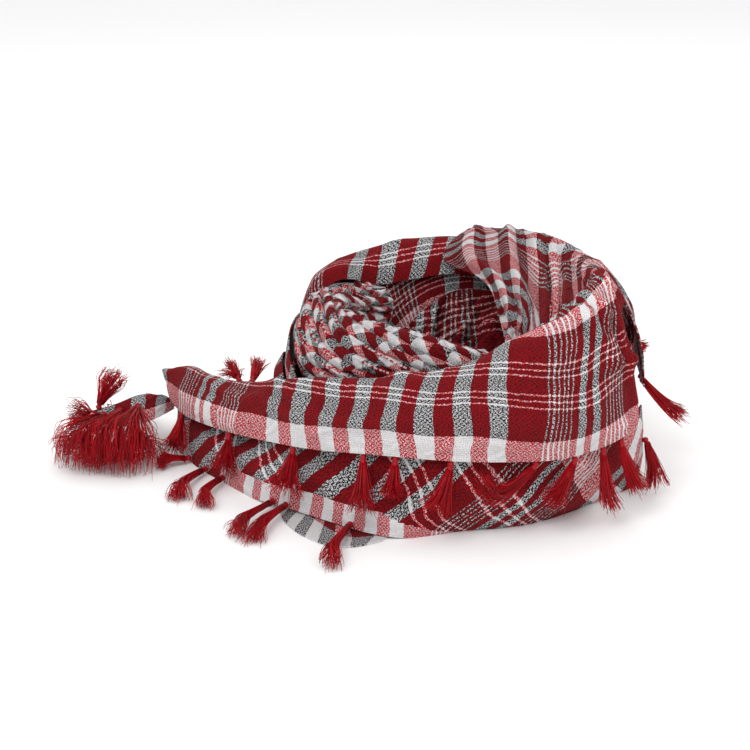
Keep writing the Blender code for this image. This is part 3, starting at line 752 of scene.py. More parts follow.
@dataclass
class ClothPiece:
    """One stretch of cloth: a thin shell that takes the form of its node, with finer creases.

    Attributes:
        node: node that it stands for.
        rows: sections of the stretch.
        folds: its larger folds.
        crumples: its small creases.
        cells: counts of cells along and across.
        node_rows: count of the node's own cells along, which the tassels' places follow.
        quiet: distance in mm over which the small creases grow from the hem and from the far edge.
        anchor: station at which the pattern starts.
        start: place of that station's hem on the cloth, in mm.
        threads: change of the warp's and of the weft's place for each mm along, then for each mm across.
        marks: pairs of a length along the stretch and the length that its pattern has there.
        creases: larger creases that the node leaves out.
        wobble: seed, height in mm and distance in mm of the threads' uneven run.
        rising: whether the cloth's hem is the stretch's first edge rather than its far one.
        held: how the cloth is held; not used.
        rests_on: nodes that it lies on; not used.
        slot: material slot of the record; not used.
    """

    node: str
    rows: Rows
    folds: Sequence[Fold] = ()
    crumples: Sequence[Crumple] = ()
    cells: Cells = (200, 40)
    node_rows: int = 40
    quiet: Pair = (8.0, 6.0)
    anchor: float = 0.0
    start: Pair = (0.0, 0.0)
    threads: Four = (1.0, 0.0, 0.0, 1.0)
    marks: Sequence[Pair] = ()
    creases: Sequence[Fold] = ()
    wobble: tuple[int, float, float] = (101, 1.4, 90.0)
    rising: bool = True
    held: Held = Held.DRAPED
    rests_on: Sequence[str] = ("hidden_layers",)
    slot: str = "red_check"

    def __post_init__(self) -> None:
        """Works out the stretch through the rows."""
        self.cloth = Stretch.through(self.rows)

    def folded(self, stations: Array, shares: Array) -> Array:
        """Points of the stretch, raised along its normals by the height of its folds."""
        lift = self.cloth.fold_heights(self.folds, stations, shares)[..., None]
        out = facing(self.cloth.surface, stations, shares)
        return self.cloth.surface(stations, shares) + out * lift

    def node_sides(self, station: float, shares: Array) -> tuple[Array, Array]:
        """Hidden and visible points of the node's wall at its row nearest to a station.

        Args:
            station: bearing that is wanted.
            shares: places across the cloth.

        Returns:
            The hidden points and the visible ones.
        """
        places = np.linspace(self.cloth.stations[0], self.cloth.stations[-1], self.node_rows + 1)
        place = places[[np.abs(places - station).argmin()]]
        inner = self.folded(place, shares)
        return inner[0], (inner + facing(self.folded, place, shares) * CAD_WALL)[0]

    def measure(self, points: Array, stations: Array) -> Array:
        """Place on the cloth of every grid point: lengths along its row and across its column, in mm.

        Args:
            points: grid of points.
            stations: stations of its rows.

        Returns:
            Grid of two numbers, from the anchor's station along and from the first edge across.
        """
        along = np.linalg.norm(np.diff(points, axis=0), axis=2).cumsum(axis=0)
        along = np.concatenate([np.zeros((1, points.shape[1])), along])
        along -= along[np.abs(stations - self.anchor).argmin()]
        across = np.linalg.norm(np.diff(points, axis=1), axis=2).cumsum(axis=1)
        across = np.concatenate([np.zeros((points.shape[0], 1)), across], axis=1)
        return np.stack([along, across], axis=-1)

    def crumpled(self, points: Array, places: Array, raised: Array) -> Array:
        """Points raised along their normals by all the creases, which fade towards the edges.

        Args:
            points: grid of points of the cloth.
            places: their places on the cloth.
            raised: height of the larger creases there.

        Returns:
            The raised points.
        """
        across = places[..., 1]
        calm = between(across, across[:, -1:], *self.quiet)
        lift = (crease_lift(self.crumples, places) + raised) * calm
        return points + grid_facing(points, False) * lift[..., None]

    def maps(self, places: Array) -> Array:
        """Choices of map: here one, the lengths on the cloth, turned and moved to the start.

        Args:
            places: lengths along and across of each grid point, in mm.

        Returns:
            Places on the pattern for each choice.
        """
        along, across = places[..., 0], places[..., 1]
        if not self.rising:
            across = across[:, -1:] - across
        if self.marks:
            along = np.interp(along, *np.transpose(self.marks))
        warp_along, warp_across, weft_along, weft_across = self.threads
        u = warp_along * along + warp_across * across + self.start[0]
        v = weft_along * along + weft_across * across + self.start[1]
        return self.uneven(np.stack([u, v], axis=-1), places)[None]

    def uneven(self, map_places: Array, places: Array) -> Array:
        """Places on the pattern moved by the threads' uneven run, none at the hem."""
        seed, height, size = self.wobble
        shift = [soft_field(places, seed + i, size, 0.0, 1.0) for i in range(2)]
        return map_places + height * np.stack(shift, axis=-1) * ease(places[..., 1:] / HEM_CALM)

    def which(self, stations: Array, shares: Array) -> Array:
        """Choice of map of each cell."""
        return np.zeros((len(stations) - 1, len(shares) - 1), int)

    def build(self, finish: Any) -> Any:
        """Args:
            finish: material of the cloth.

        Returns:
            The new object.
        """
        stations = np.linspace(self.cloth.stations[0], self.cloth.stations[-1], self.cells[0] + 1)
        shares = np.linspace(0, 1, self.cells[1] + 1)
        base = self.folded(stations, shares)
        base = base + grid_facing(base, False) * CAD_WALL
        places = self.measure(base, stations)
        visible = self.crumpled(base, places, self.cloth.fold_heights(self.creases, stations, shares))
        sides = skin(visible, grid_facing(visible, False))
        maps, which = self.maps(places), self.which(stations, shares)
        piece = make_shell(f"{self.node}_cloth", sides, maps, which, (False, False), finish)
        return lay_sheet(piece, self.node)


@dataclass
class FrontWrap(ClothPiece):
    """Outer turn of cloth across the front, from the tail on the left to the fold on the right."""

    node: str = "front_wrap"
    # Each row: station, hem, belly, shoulder, rim, tucked edge.
    rows: Rows = (
        (-122, (-248, 50, 42), (-252, 56, 49), (-255, 64, 55), (-258, 76, 58), (-259, 88, 51)),
        (-108, (-234, 27, 38), (-237, 33, 51), (-238, 45, 62), (-238, 62, 68), (-238, 76, 60)),
        (-95, (-213, -2, 41), (-217, 4, 56), (-217, 17, 67), (-217, 36, 71), (-216, 50, 62)),
        (-82, (-190, -27, 44), (-193, -23, 60), (-191, -12, 71), (-187, 4, 76), (-184, 17, 68)),
        bend(-68, (171, 52), (172, 72, -69), (166, 89, -70), (154, 98, -71), (144, 92, -72)),
        bend(-50, (153, 59), (155, 82), (147, 101), (131, 111), (120, 103)),
        bend(-34, (145, 65), (148, 88), (139, 108), (120, 119), (109, 111)),
        bend(-18, (140, 67), (144, 92), (134, 114), (112, 127), (102, 119)),
        bend(0, (138, 66), (143, 93), (133, 119), (110, 134), (100, 126)),
        bend(15, (138, 64), (145, 93), (135, 126), (111, 149), (99, 142)),
        bend(30, (140, 61), (148, 92), (138, 128), (112, 156), (99, 150)),
        bend(45, (145, 62), (152, 93), (142, 132), (117, 164, 46), (104, 160, 46)),
        bend(58, (154, 69, 56), (153, 95), (139, 136, 60), (118, 173, 62), (103, 168, 64)),
        bend(68, (153, 77, 63), (148, 97, 65), (137, 137), (117, 176, 78), (103, 173, 82)),
    )
    folds: Sequence[Fold] = (
        Fold(44, 0.96, 49, 0.56, 5, 5),
        Fold(53, 0.90, 51, 0.50, 5, 4),
        Fold(62, 0.86, 57, 0.46, 5, 4),
        Fold(57, 0.46, 60, 0.20, 6, 3),
        Fold(-60, 0.66, -18, 0.52, 9, 2),
        Fold(4, 0.34, 40, 0.28, 10, 2),
        Fold(-92, 0.64, -74, 0.44, 7, 3),
    )
    crumples: Sequence[Crumple] = (
        Crumple(seed=11, size=36, height=3.4, lean=-14, length=3.5, sharp=0.5),
        Crumple(seed=12, size=15, height=0.8, lean=20, length=2.5),
    )
    cells: Cells = (340, 60)
    node_rows: int = 54
    anchor: float = -18.0
    start: Pair = (31.1, 0.0)
    marks: Sequence[Pair] = (
        (-400, -377.7), (-224.4, -202.1), (-206, -190.3), (-181.5, -163.3),
        (-136.9, -133.9), (-109, -106.5), (-92.3, -92.8), (300, 300),
    )
    creases: Sequence[Fold] = (
        Fold(48, 0.86, 66, 0.52, 4.5, 3.0),
        Fold(54, 0.98, 74, 0.62, 4.0, 3.2),
        Fold(62, 0.98, 82, 0.70, 4.0, 3.0),
        Fold(54, 0.90, 70, 0.92, 8.0, 4.0),
        Fold(57, 0.70, 78, 0.42, 4.5, -2.0),
        Fold(36, 0.72, 62, 0.40, 8.0, 2.2),
        Fold(-64, 0.80, -20, 0.62, 7.0, 1.8),
        Fold(-40, 0.30, 10, 0.42, 8.0, 1.8),
        Fold(10, 0.62, 44, 0.50, 7.0, -1.4),
        Fold(-72, 0.50, -50, 0.20, 7.0, 2.0),
    )


@dataclass
class BackWrap(ClothPiece):
    """Turn of cloth round the right, back and left, which falls into the nest behind."""

    node: str = "back_wrap"
    # Each row: station, foot, belly, shoulder, crest, fall inside, inner hem.
    rows: Rows = (
        bend(60, (124, 0), (133, 38), (130, 104, 62), (112, 150, 64), (102, 146, 65), (97, 136, 66)),
        bend(72, (136, 0), (141, 42), (136, 102, 73), (114, 155, 75), (104, 151, 76), (98, 139, 77)),
        bend(84, (146, 0), (147, 45), (138, 98), (113, 158), (104, 154), (98, 142)),
        bend(100, (145, 0), (147, 46), (137, 102), (114, 156), (102, 151), (95, 138)),
        bend(120, (142, 0), (146, 46), (139, 106), (117, 159.8), (103, 152), (94, 136)),
        bend(140, (140, 0), (145, 46), (138, 112), (117, 162), (103, 154), (95, 138)),
        bend(160, (139, 0), (144, 46), (137, 114), (113, 166), (100, 155), (93, 139)),
        bend(178, (139, 0), (144, 46), (136, 116), (114, 169), (100, 160, 177), (91, 144, 176)),
        bend(194, (140, 0), (145, 46), (139, 114), (119, 167), (104, 158, 193), (96, 142, 192)),
        bend(210, (142, 0), (148, 46), (142, 110), (127, 162), (112, 154), (105, 137)),
        bend(225, (144, 0), (150, 46), (146, 106), (136, 156), (122, 152, 224), (115, 138, 223)),
        bend(240, (145, 0), (150, 44), (149, 98), (146, 140, 241), (138, 147), (129, 142, 239)),
        bend(255, (146, 0), (149, 34), (149, 60), (148, 84), (146, 96), (142, 102)),
        bend(268, (145, 0), (147, 28), (147, 50), (146, 66), (143, 74), (138, 78)),
        bend(282, (141, 0), (145, 24), (146, 42), (145, 58), (142, 66), (138, 70)),
    )
    folds: Sequence[Fold] = (
        Fold(98, 0.08, 128, 0.40, 9, 4),
        Fold(138, 0.06, 165, 0.38, 9, 4),
        Fold(178, 0.10, 203, 0.44, 10, 4),
        Fold(214, 0.08, 238, 0.42, 9, 4),
        Fold(196, 0.86, 226, 0.80, 5, 2),
        Fold(172, 0.74, 206, 0.66, 6, 2),
    )
    crumples: Sequence[Crumple] = (
        Crumple(seed=21, size=36, height=2.2, lean=24, length=3.5, sharp=0.5),
        Crumple(seed=22, size=15, height=0.7, lean=-20, length=2.5),
    )
    cells: Cells = (280, 90)
    node_rows: int = 44
    quiet: Pair = (10.0, 8.0)
    anchor: float = 178.0
    start: Pair = (-3.0, 30.0)
    threads: Four = (1.0, 0.32, 0.0, 1.0)
    rising: bool = False


@dataclass
class LowerPanel(ClothPiece):
    """Cloth below the hem of the front wrap, its threads aslant but for a straight border in front.

    Attributes:
        turned: place of the weft at which the slanting pattern turns back, in mm.
        border: stations between which the border shows, its width as a share and the stations that it
            narrows over.
        border_threads: how the border's pattern is stretched, and where it starts, in mm.
    """

    node: str = "lower_panel"
    # Each row: station, foot, low, waist, tucked top.
    rows: Rows = (
        (-112, (-245, 44, 0), (-244, 45, 8), (-242, 48, 16), (-240, 52, 22)),
        (-100, (-222, 2, 0), (-221, 4, 14), (-217, 11, 26), (-213, 20, 34)),
        (-88, (-202, -24, 0), (-200, -20, 16), (-195, -11, 30), (-190, -2, 40)),
        (-74, (-174, -58, 0), (-171, -55, 18), (-163, -47, 38), (-156, -36, 52)),
        bend(-62, (171, 2.6), (167, 20), (155, 44), (150, 66)),
        bend(-50, (158, 2.6), (153, 22), (143, 48), (139, 74)),
        bend(-38, (153, 2.6), (149, 22), (138, 50), (134, 78)),
        bend(-26, (151, 2.2), (147, 22), (135, 50), (131, 80)),
        bend(-16, (139, 0), (142, 20), (134, 50), (129, 80)),
        bend(-4, (124, 0), (134, 18), (132, 48), (128, 80)),
        bend(10, (120, 0), (131, 18), (131, 48), (128, 80)),
        bend(30, (120, 0), (131, 18), (132, 48), (129, 78)),
        bend(50, (122, 0), (133, 18), (136, 46), (135, 76)),
        bend(64, (132, 0), (142, 20), (146, 46), (146, 74, 63)),
        bend(76, (148, 0), (151, 20), (151, 46, 75), (149, 74, 74)),
    )
    folds: Sequence[Fold] = (
        Fold(-62, 0.52, -22, 0.20, 8, 3),
        Fold(-10, 0.66, 46, 0.24, 9, 3),
        Fold(22, 0.84, 68, 0.44, 8, 3),
        Fold(-96, 0.56, -68, 0.34, 8, 3),
    )
    crumples: Sequence[Crumple] = (
        Crumple(seed=31, size=30, height=1.4, lean=-24, length=3.5, sharp=0.5),
        Crumple(seed=32, size=13, height=0.5, lean=20, length=2.5),
    )
    cells: Cells = (300, 44)
    node_rows: int = 42
    quiet: Pair = (6.0, 6.0)
    anchor: float = -50.0
    start: Pair = (47.6, 3.9)
    threads: Four = (0.84, -0.66, 0.40, 0.38)
    turned: float = 24.0
    border: Four = (-88.0, -4.0, 0.24, 24.0)
    border_threads: Rows = ((1.3, 1.0), (-3.0, 0.0))

    def maps(self, places: Array) -> Array:
        """Choices of map: the threads aslant, turned back at the hem, and the threads square to it."""
        aslant = super().maps(places)
        aslant[..., 1] = self.turned + np.abs(aslant[..., 1] - self.turned)
        stretched, start = np.array(self.border_threads)
        return np.concatenate([aslant, places[None] * stretched + start])

    def which(self, stations: Array, shares: Array) -> Array:
        """The border's map in the cells along the hem between its stations."""
        first, last, width, narrowing = self.border
        along = stations[:-1, None]
        narrow = width * np.clip((last - along) / narrowing, 0.0, 1.0)
        return ((along > first) & (shares[None, :-1] < narrow)).astype(int)


@dataclass
class UnderLayer(ClothPiece):
    """Layer that shows below the lower panel, flat on the floor."""

    node: str = "under_layer"
    # Each row: station, outer edge, middle, inner edge.
    rows: Rows = (
        bend(-61, (172, 0), (158, 0), (142, 0)),
        bend(-53, (180, 0), (160, 0), (140, 0)),
        bend(-45, (185, 0), (162, 0), (138, 0)),
        bend(-37, (186, 0), (162, 0), (137, 0)),
        bend(-30, (177, 0), (156, 0), (136, 0)),
        bend(-25, (158, 0), (147, 0), (135, 0)),
    )
    cells: Cells = (80, 24)
    node_rows: int = 10
    anchor: float = -45.0
    start: Pair = (575.0, 210.0)
    threads: Four = (0.0, -1.0, 1.0, 0.8)
    held: Held = Held.LAID
    rests_on: Sequence[str] = ()
    slot: str = "grey_check"


@dataclass
class PleatFan(ClothPiece):
    """Pleated end of cloth over the right rear, gathered towards the front.

    Attributes:
        gather: times deeper that the pleats are at the gathered end, and how much of that is lost.
        loosening: distance in mm from that end at which it begins to be lost, and over which it is.
        left: distance in mm from the anchor at which the left part's pattern begins, and over which.
        paces: change of the warp's place for each mm down the pleats, on the right and on the left.
        left_start: warp's place at the gathered end on the left, in mm.
        left_weft: how much faster the weft counts on the left.
    """

    node: str = "pleat_fan"
    # Each row: station, outer hem, outer shoulder, crest, upper, middle, lower, far end.
    rows: Rows = (
        (96, (153, 10, 70), (143, 8, 124), (114, -4, 168),
         (106, -10, 166), (99, -18, 161), (93, -28, 157), (84, -44, 151)),
        (120, (135, 78, 104), (128, 76, 142), (100, 82, 167),
         (94, 60, 158), (88, 25, 153), (82, -15, 150), (76, -52, 140)),
        (138, (102, 114, 108), (96, 108, 146), (77, 103, 174),
         (73, 74, 161), (72, 30, 149), (70, -15, 140), (64, -58, 128)),
        (155, (64, 137, 110), (60, 130, 150), (44, 113, 177),
         (40, 84, 165), (46, 40, 150), (50, -8, 136), (48, -58, 121)),
        (174, (17, 150, 112), (15, 142, 150), (7, 119, 174),
         (-13, 97, 159), (15, 60, 151), (30, 12, 135), (36, -48, 116)),
    )
    folds: Sequence[Fold] = (
        Fold(167, 0.38, 164, 0.80, 6, 7),
        Fold(154, 0.38, 153, 0.86, 5, 7),
        Fold(142, 0.40, 140, 0.90, 6, 6.5),
        Fold(133, 0.42, 131, 0.90, 6, 4),
        Fold(123, 0.48, 116, 0.88, 6, 4.5),
        Fold(160, 0.02, 158, 0.24, 8, 4),
        Fold(132, 0.02, 135, 0.26, 9, 4),
        Fold(110, 0.04, 113, 0.28, 8, 4),
    )
    crumples: Sequence[Crumple] = (
        Crumple(seed=41, size=17, height=3.0, lean=90, length=7.0, sharp=0.42),
        Crumple(seed=42, size=9, height=0.6, lean=70, length=2.5),
    )
    cells: Cells = (150, 150)
    node_rows: int = 36
    anchor: float = 140.0
    start: Pair = (86.3, 210.7)
    held: Held = Held.GATHERED
    rests_on: Sequence[str] = ("back_wrap_cloth",)
    gather: Pair = (1.9, 1.6)
    loosening: Pair = (30.0, 100.0)
    left: Pair = (2.0, 34.0)
    paces: Pair = (0.55, 1.4)
    left_start: float = -62.0
    left_weft: float = 0.3

    def crumpled(self, points: Array, places: Array, raised: Array) -> Array:
        """Points raised by pleats, which are deep where the cloth gathers and fade towards the crest."""
        up = places[:, -1:, 1] - places[..., 1]
        begin, length = self.loosening
        deep = self.gather[0] - self.gather[1] * ease((up - begin) / length)
        pleated = super().crumpled(points, places, raised)
        return points + (pleated - points) * deep[..., None]

    def maps(self, places: Array) -> Array:
        """One map: the weft counts round the fan, the warp along its pleats, looser on the right."""
        along, across = places[..., 0], places[..., 1]
        up = across[:, -1:] - across
        left = ease((along - self.left[0]) / self.left[1])
        right_part = self.start[0] + self.paces[0] * up
        left_part = self.paces[1] * up + self.left_start
        u = right_part * (1 - left) + left_part * left
        v = along * (1.0 + self.left_weft * left) + self.start[1]
        return self.uneven(np.stack([u, v], axis=-1), places)[None]


@dataclass
class SideLoop(ClothPiece):
    """Narrow band that comes down outside the twisted strand on the left."""

    node: str = "side_loop"
    # Each row: station, lower edge, middle, upper edge.
    rows: Rows = (
        bend(-112, (130, 112), (132, 122), (130, 132)),
        bend(-104, (137, 102), (138.5, 116), (135.5, 130)),
        bend(-93, (142, 89.4), (143.3, 107.6), (140.3, 126)),
        bend(-81, (143, 81.3), (145, 95.5), (143, 110)),
        bend(-72, (139, 78), (141.4, 86), (140.6, 94.2)),
    )
    cells: Cells = (110, 22)
    node_rows: int = 16
    anchor: float = -92.0
    threads: Four = (0.99, -0.14, 0.14, 0.99)
    held: Held = Held.FOLDED
    slot: str = "grey_check"


@dataclass
class SmallLoop(ClothPiece):
    """Small loop of cloth beside the side loop."""

    node: str = "small_loop"
    # Each row: station, lower edge, middle, upper edge.
    rows: Rows = (
        bend(-111, (151.6, 60), (154.6, 70), (152.6, 80)),
        bend(-102, (151.8, 64), (156.4, 78), (150.3, 93)),
        bend(-90, (150.5, 68), (155, 82), (149, 96)),
        bend(-80, (149, 66), (151, 76), (148, 86)),
    )
    crumples: Sequence[Crumple] = (Crumple(seed=61, size=12, height=0.7, lean=60, length=2.5),)
    cells: Cells = (80, 36)
    node_rows: int = 10
    anchor: float = -96.0
    start: Pair = (50.0, 300.0)
    threads: Four = (0.87, -0.5, 0.5, 0.87)
    held: Held = Held.FOLDED
    slot: str = "grey_check"


@dataclass
class TailCorner(ClothPiece):
    """Corner of the square at the end of the tail, low over the floor."""

    node: str = "tail_corner"
    # Each row: place along the corner, front hem, ridge, back hem.
    rows: Rows = (
        (0, (-317, 28, 27), (-317, 38, 35), (-316, 48, 29)),
        (24, (-294, 24, 28), (-294, 38, 42), (-293, 52, 34)),
        (48, (-272, 26, 30), (-272, 46, 47), (-271, 64, 38)),
        (72, (-249.4, 62, 29), (-249.4, 71, 33), (-249.4, 80, 30)),
    )
    crumples: Sequence[Crumple] = (Crumple(seed=71, size=20, height=1.0, lean=30, length=2.5),)
    cells: Cells = (100, 60)
    node_rows: int = 10
    start: Pair = (0.0, 10.0)
    rests_on: Sequence[str] = ("tail_mound",)


@dataclass
class TwistedStrand:
    """Twisted roll of cloth that winds round the nest: overlapping plies on oval sections.

    Attributes:
        rows: station, middle radius, middle height, half width and half height.
        cells: count of cells along.
        plies: count of plies round the roll.
        ply_cells: count of cells across a ply.
        lay: degrees of the plies' own count that pass for each degree of station.
        depth: depth of the valley between plies, in mm.
        wander: how far the plies stray from an even lay, in radians of their own count.
        end: stations over which the far end rounds off.
        fields: seed, distance in mm and length over width of the uneven fields: the plies' run, their
            height, their pattern and where the white hem shows.
        ply_width: width of the cloth that shows on a ply, in mm.
        to_and_fro: length of cloth after which a ply's pattern comes back, in mm.
        ply_step: how far the pattern moves on from one ply to the next, in mm.
        taut: length of the pattern for each mm of the roll.
        weft_start: place of the weft in the middle of the way to and fro, in mm.
        tug: how far the pattern strays, in mm.
        crumples: its small creases.
    """

    rows: Rows = (
        (32, 60, 103, 12, 12),
        (18, 70, 109, 16, 16),
        (2, 77, 113, 20, 21),
        (-14, 77, 116, 21, 23),
        (-30, 81, 118, 22, 25),
        (-46, 89, 119, 24, 28),
        (-62, 102, 118, 26, 33),
        (-78, 111, 117, 26, 36),
        (-94, 113, 117, 25, 36),
        (-110, 108, 120, 23, 31),
        (-124, 99, 123, 18, 23),
        (-138, 90, 125, 13, 16),
    )
    cells: int = 310
    plies: int = 16
    ply_cells: int = 9
    lay: float = 23.0
    depth: float = 6.5
    wander: float = 1.6
    end: float = 9.0
    fields: Rows = ((83, 60.0, 1.5), (84, 50.0, 1.5), (85, 40.0, 1.0), (86, 45.0, 1.0))
    ply_width: float = 10.0
    to_and_fro: float = 380.0
    ply_step: float = 47.0
    taut: float = 0.95
    weft_start: float = 210.7
    tug: float = 2.5
    crumples: Sequence[Crumple] = (
        Crumple(seed=81, size=17, height=2.6, lean=-40, length=3.0, sharp=0.45),
        Crumple(seed=82, size=8, height=1.2, lean=-30, length=2.0),
    )

    def uneven(self, places: Array) -> list[Array]:
        """The uneven fields at each place."""
        return [soft_field(places, seed, size, 0.0, length) for seed, size, length in self.fields]

    def sections(self, stations: Array, turns: Array) -> tuple[Array, Array]:
        """Points of the plain oval roll and its unit outward directions.

        The middle follows splines of the rows, and a section's offset is half width times the cosine
        outward and half height times the sine downward.

        Args:
            stations: degrees of each section.
            turns: angle of each point round its section, in radians.

        Returns:
            The points and the directions.
        """
        table = np.array(self.rows, float)[::-1]
        values = spline_weights(table[:, 0], stations) @ table[:, 1:]
        angle = np.radians(stations)
        outward = np.stack([np.sin(angle), -np.cos(angle), np.zeros_like(angle)], axis=-1)
        middle = outward * values[:, :1]
        middle[:, 2] = values[:, 1]
        wide = values[:, 2:3] * np.cos(turns)
        high = values[:, 3:4] * np.sin(turns)
        down = np.array([0.0, 0.0, -1.0])
        points = middle[:, None] + outward[:, None] * wide[..., None] + down * high[..., None]
        steep = np.cos(turns) * values[:, 3:4]
        flat = np.sin(turns) * values[:, 2:3]
        out = unit(outward[:, None] * steep[..., None] + down * flat[..., None])
        return points, out

    def measure(self, points: Array, columns: Array) -> Array:
        """Places on the roll, in mm: the mean length along it, and the mean girth shared out evenly."""
        run = np.linalg.norm(np.diff(points, axis=0), axis=2).mean(axis=1).cumsum()
        girth = np.linalg.norm(np.diff(points, axis=1), axis=2).sum(axis=1).mean()
        grid = np.meshgrid(np.concatenate([[0.0], run]), girth * columns / columns[-1], indexing="ij")
        return np.stack(grid, axis=-1)

    def lift(self, places: Array, columns: Array, seam: Array) -> Array:
        """Height over the plain roll: a hump across each ply, steeper on its first side, and creases.

        Args:
            places: places on the roll, in mm.
            columns: numbers of the grid's columns.
            seam: share of the unevenness that each column has, none where the roll closes.

        Returns:
            Height of each grid point, in mm.
        """
        own = columns % self.ply_cells / self.ply_cells
        hump = np.sin(math.pi * own**0.62) ** 0.7
        strength = 0.85 + 0.35 * np.tanh(self.uneven(places)[1]) * seam
        return self.depth * (hump - 0.75) * strength + crease_lift(self.crumples, places) * seam

    def maps(self, places: Array, columns: Array, seam: Array) -> Array:
        """Choices of map: each ply's, which runs to and fro aslant on the cloth, and the white hem's.

        Args:
            places: places on the roll, in mm.
            columns: numbers of the grid's columns.
            seam: share of the unevenness that each column has, none where the roll closes.

        Returns:
            Places on the cloth for each choice.
        """
        run = places[..., 0]
        stray = self.uneven(places)[2] * self.tug * seam
        half = self.to_and_fro / 2
        made = []
        for ply in range(self.plies):
            side = (np.clip(columns / self.ply_cells - ply, 0.0, 1.0) - 0.5) * self.ply_width
            back = np.abs((run * self.taut + self.ply_step * ply) % self.to_and_fro - half) - half / 2
            made.append(np.stack([back + side + stray, back - side + self.weft_start - stray], axis=-1))
        made.append(np.stack([run, np.full_like(run, self.ply_width)], axis=-1))
        return np.stack(made)

    def which(self, places: Array, columns: Array) -> Array:
        """Choice of map of each cell: its ply's, or here and there the hem's along a ply's edge."""
        number = columns[:-1] // self.ply_cells * np.ones((self.cells, 1), int)
        bright = self.uneven(places)[3][:-1, :-1] > 0.2
        return np.where((columns[:-1] % self.ply_cells == 1) & bright, self.plies, number)

    def build(self, finish: Any) -> Any:
        """Args:
            finish: material of the cloth.

        Returns:
            The new object.
        """
        last, first = self.rows[-1][0], self.rows[0][0]
        stations = np.linspace(last, first, self.cells + 1)
        columns = np.arange(self.plies * self.ply_cells + 1)
        around = columns * 2 * math.pi / columns[-1] + np.radians(self.lay * stations)[:, None] / self.plies
        places = self.measure(self.sections(stations, around)[0], columns)
        seam = between(columns, columns[-1], self.ply_cells, self.ply_cells)
        around = around + self.uneven(places)[0] * seam * self.wander / self.plies
        points, out = self.sections(stations, around)
        lift = self.lift(places, columns, seam)
        heart = points[:, :-1].mean(axis=1, keepdims=True)
        taper = rounded_end(stations - last, self.end)[:, None, None]
        visible = heart + (points + out * lift[..., None] - heart) * taper
        sides = skin(visible[:, :-1], out[:, :-1])
        maps, which = self.maps(places, columns, seam), self.which(places, columns)
        piece = make_shell("twisted_strand_cloth", sides, maps, which, (False, True), finish)
        return lay_sheet(piece, "twisted_strand")


def wrapped(rows: Rows, extra: int = 2) -> Rows:
    """Rows of a closed ring with a few repeated past each end, so that the surface closes smoothly."""
    before = [(row[0] - 360, *row[1:]) for row in rows[-extra:]]
    after = [(row[0] + 360, *row[1:]) for row in rows[:extra]]
    return (*before, *rows, *after)


@dataclass
class NestLining(ClothPiece):
    """Inner layer that lines the nest, closed round the ring.

    Attributes:
        disc: radius in mm at which the lining's upper edge lies on the flat cloth, and how much of each mm
            down the slope the radius loses.
        scale: times that the pattern is stretched along the warp's count and the weft's.
    """

    node: str = "nest_lining"
    # Each row: station, upper edge, slope, low, middle of the nest.
    rows: Rows = (
        bend(-90, (80, 102), (70, 88), (46, 75), (3, 70)),
        bend(-45, (62, 96), (55, 83), (38, 72), (3, 70)),
        bend(0, (53, 91), (47, 80), (34, 71), (3, 70)),
        bend(45, (58, 93), (51, 81), (36, 72), (3, 70)),
        bend(90, (82, 124), (66, 98), (44, 77), (3, 70)),
        bend(135, (86, 126), (70, 100), (46, 78), (3, 70)),
        bend(180, (88, 130), (75, 104), (50, 79), (3, 70)),
        bend(225, (76, 102), (68, 90), (48, 77), (3, 70)),
    )
    folds: Sequence[Fold] = (
        Fold(186, 0.04, 170, 0.70, 6, 5),
        Fold(206, 0.10, 214, 0.66, 6, 5),
        Fold(152, 0.06, 158, 0.60, 6, 5),
        Fold(-70, 0.20, -84, 0.74, 5, 4),
        Fold(-20, 0.26, -4, 0.74, 5, 3),
        Fold(96, 0.10, 110, 0.66, 6, 5),
    )
    crumples: Sequence[Crumple] = (
        Crumple(seed=91, size=22, height=8.0, lean=70, length=2.5),
        Crumple(seed=92, size=10, height=3.5, lean=20, length=2.0),
    )
    cells: Cells = (240, 60)
    quiet: Pair = (3.0, 20.0)
    start: Pair = (145.0, 296.0)
    disc: Pair = (95.0, 0.9)
    scale: Pair = (-0.85, 0.8)
    held: Held = Held.LAID

    def __post_init__(self) -> None:
        """Works out the stretch through the rows, with some repeated so that it closes."""
        self.cloth = Stretch.through(wrapped(self.rows))

    def build(self, finish: Any) -> Any:
        """Args:
            finish: material of the cloth.

        Returns:
            The new object.
        """
        stations = np.linspace(-90, 270, self.cells[0] + 1)
        shares = np.linspace(0, 1, self.cells[1] + 1)
        out = facing(self.folded, stations, shares)
        base = self.folded(stations, shares) + out * CAD_WALL
        places = self.measure(base, stations)
        across = places[..., 1]
        turn = np.radians(stations)[:, None]
        radius = self.disc[0] - across * self.disc[1]
        round_places = np.stack([radius * np.sin(turn), -radius * np.cos(turn)], axis=-1)
        lift = crease_lift(self.crumples, round_places) * between(across, across[:, -1:], *self.quiet)
        sides = skin((base + out * lift[..., None])[:-1], out[:-1])
        maps = round_places[None] * np.array(self.scale) + np.array(self.start)
        which = np.zeros(self.cells, int)
        piece = make_shell(f"{self.node}_cloth", sides, maps, which, (True, False), finish)
        return lay_sheet(piece, self.node)


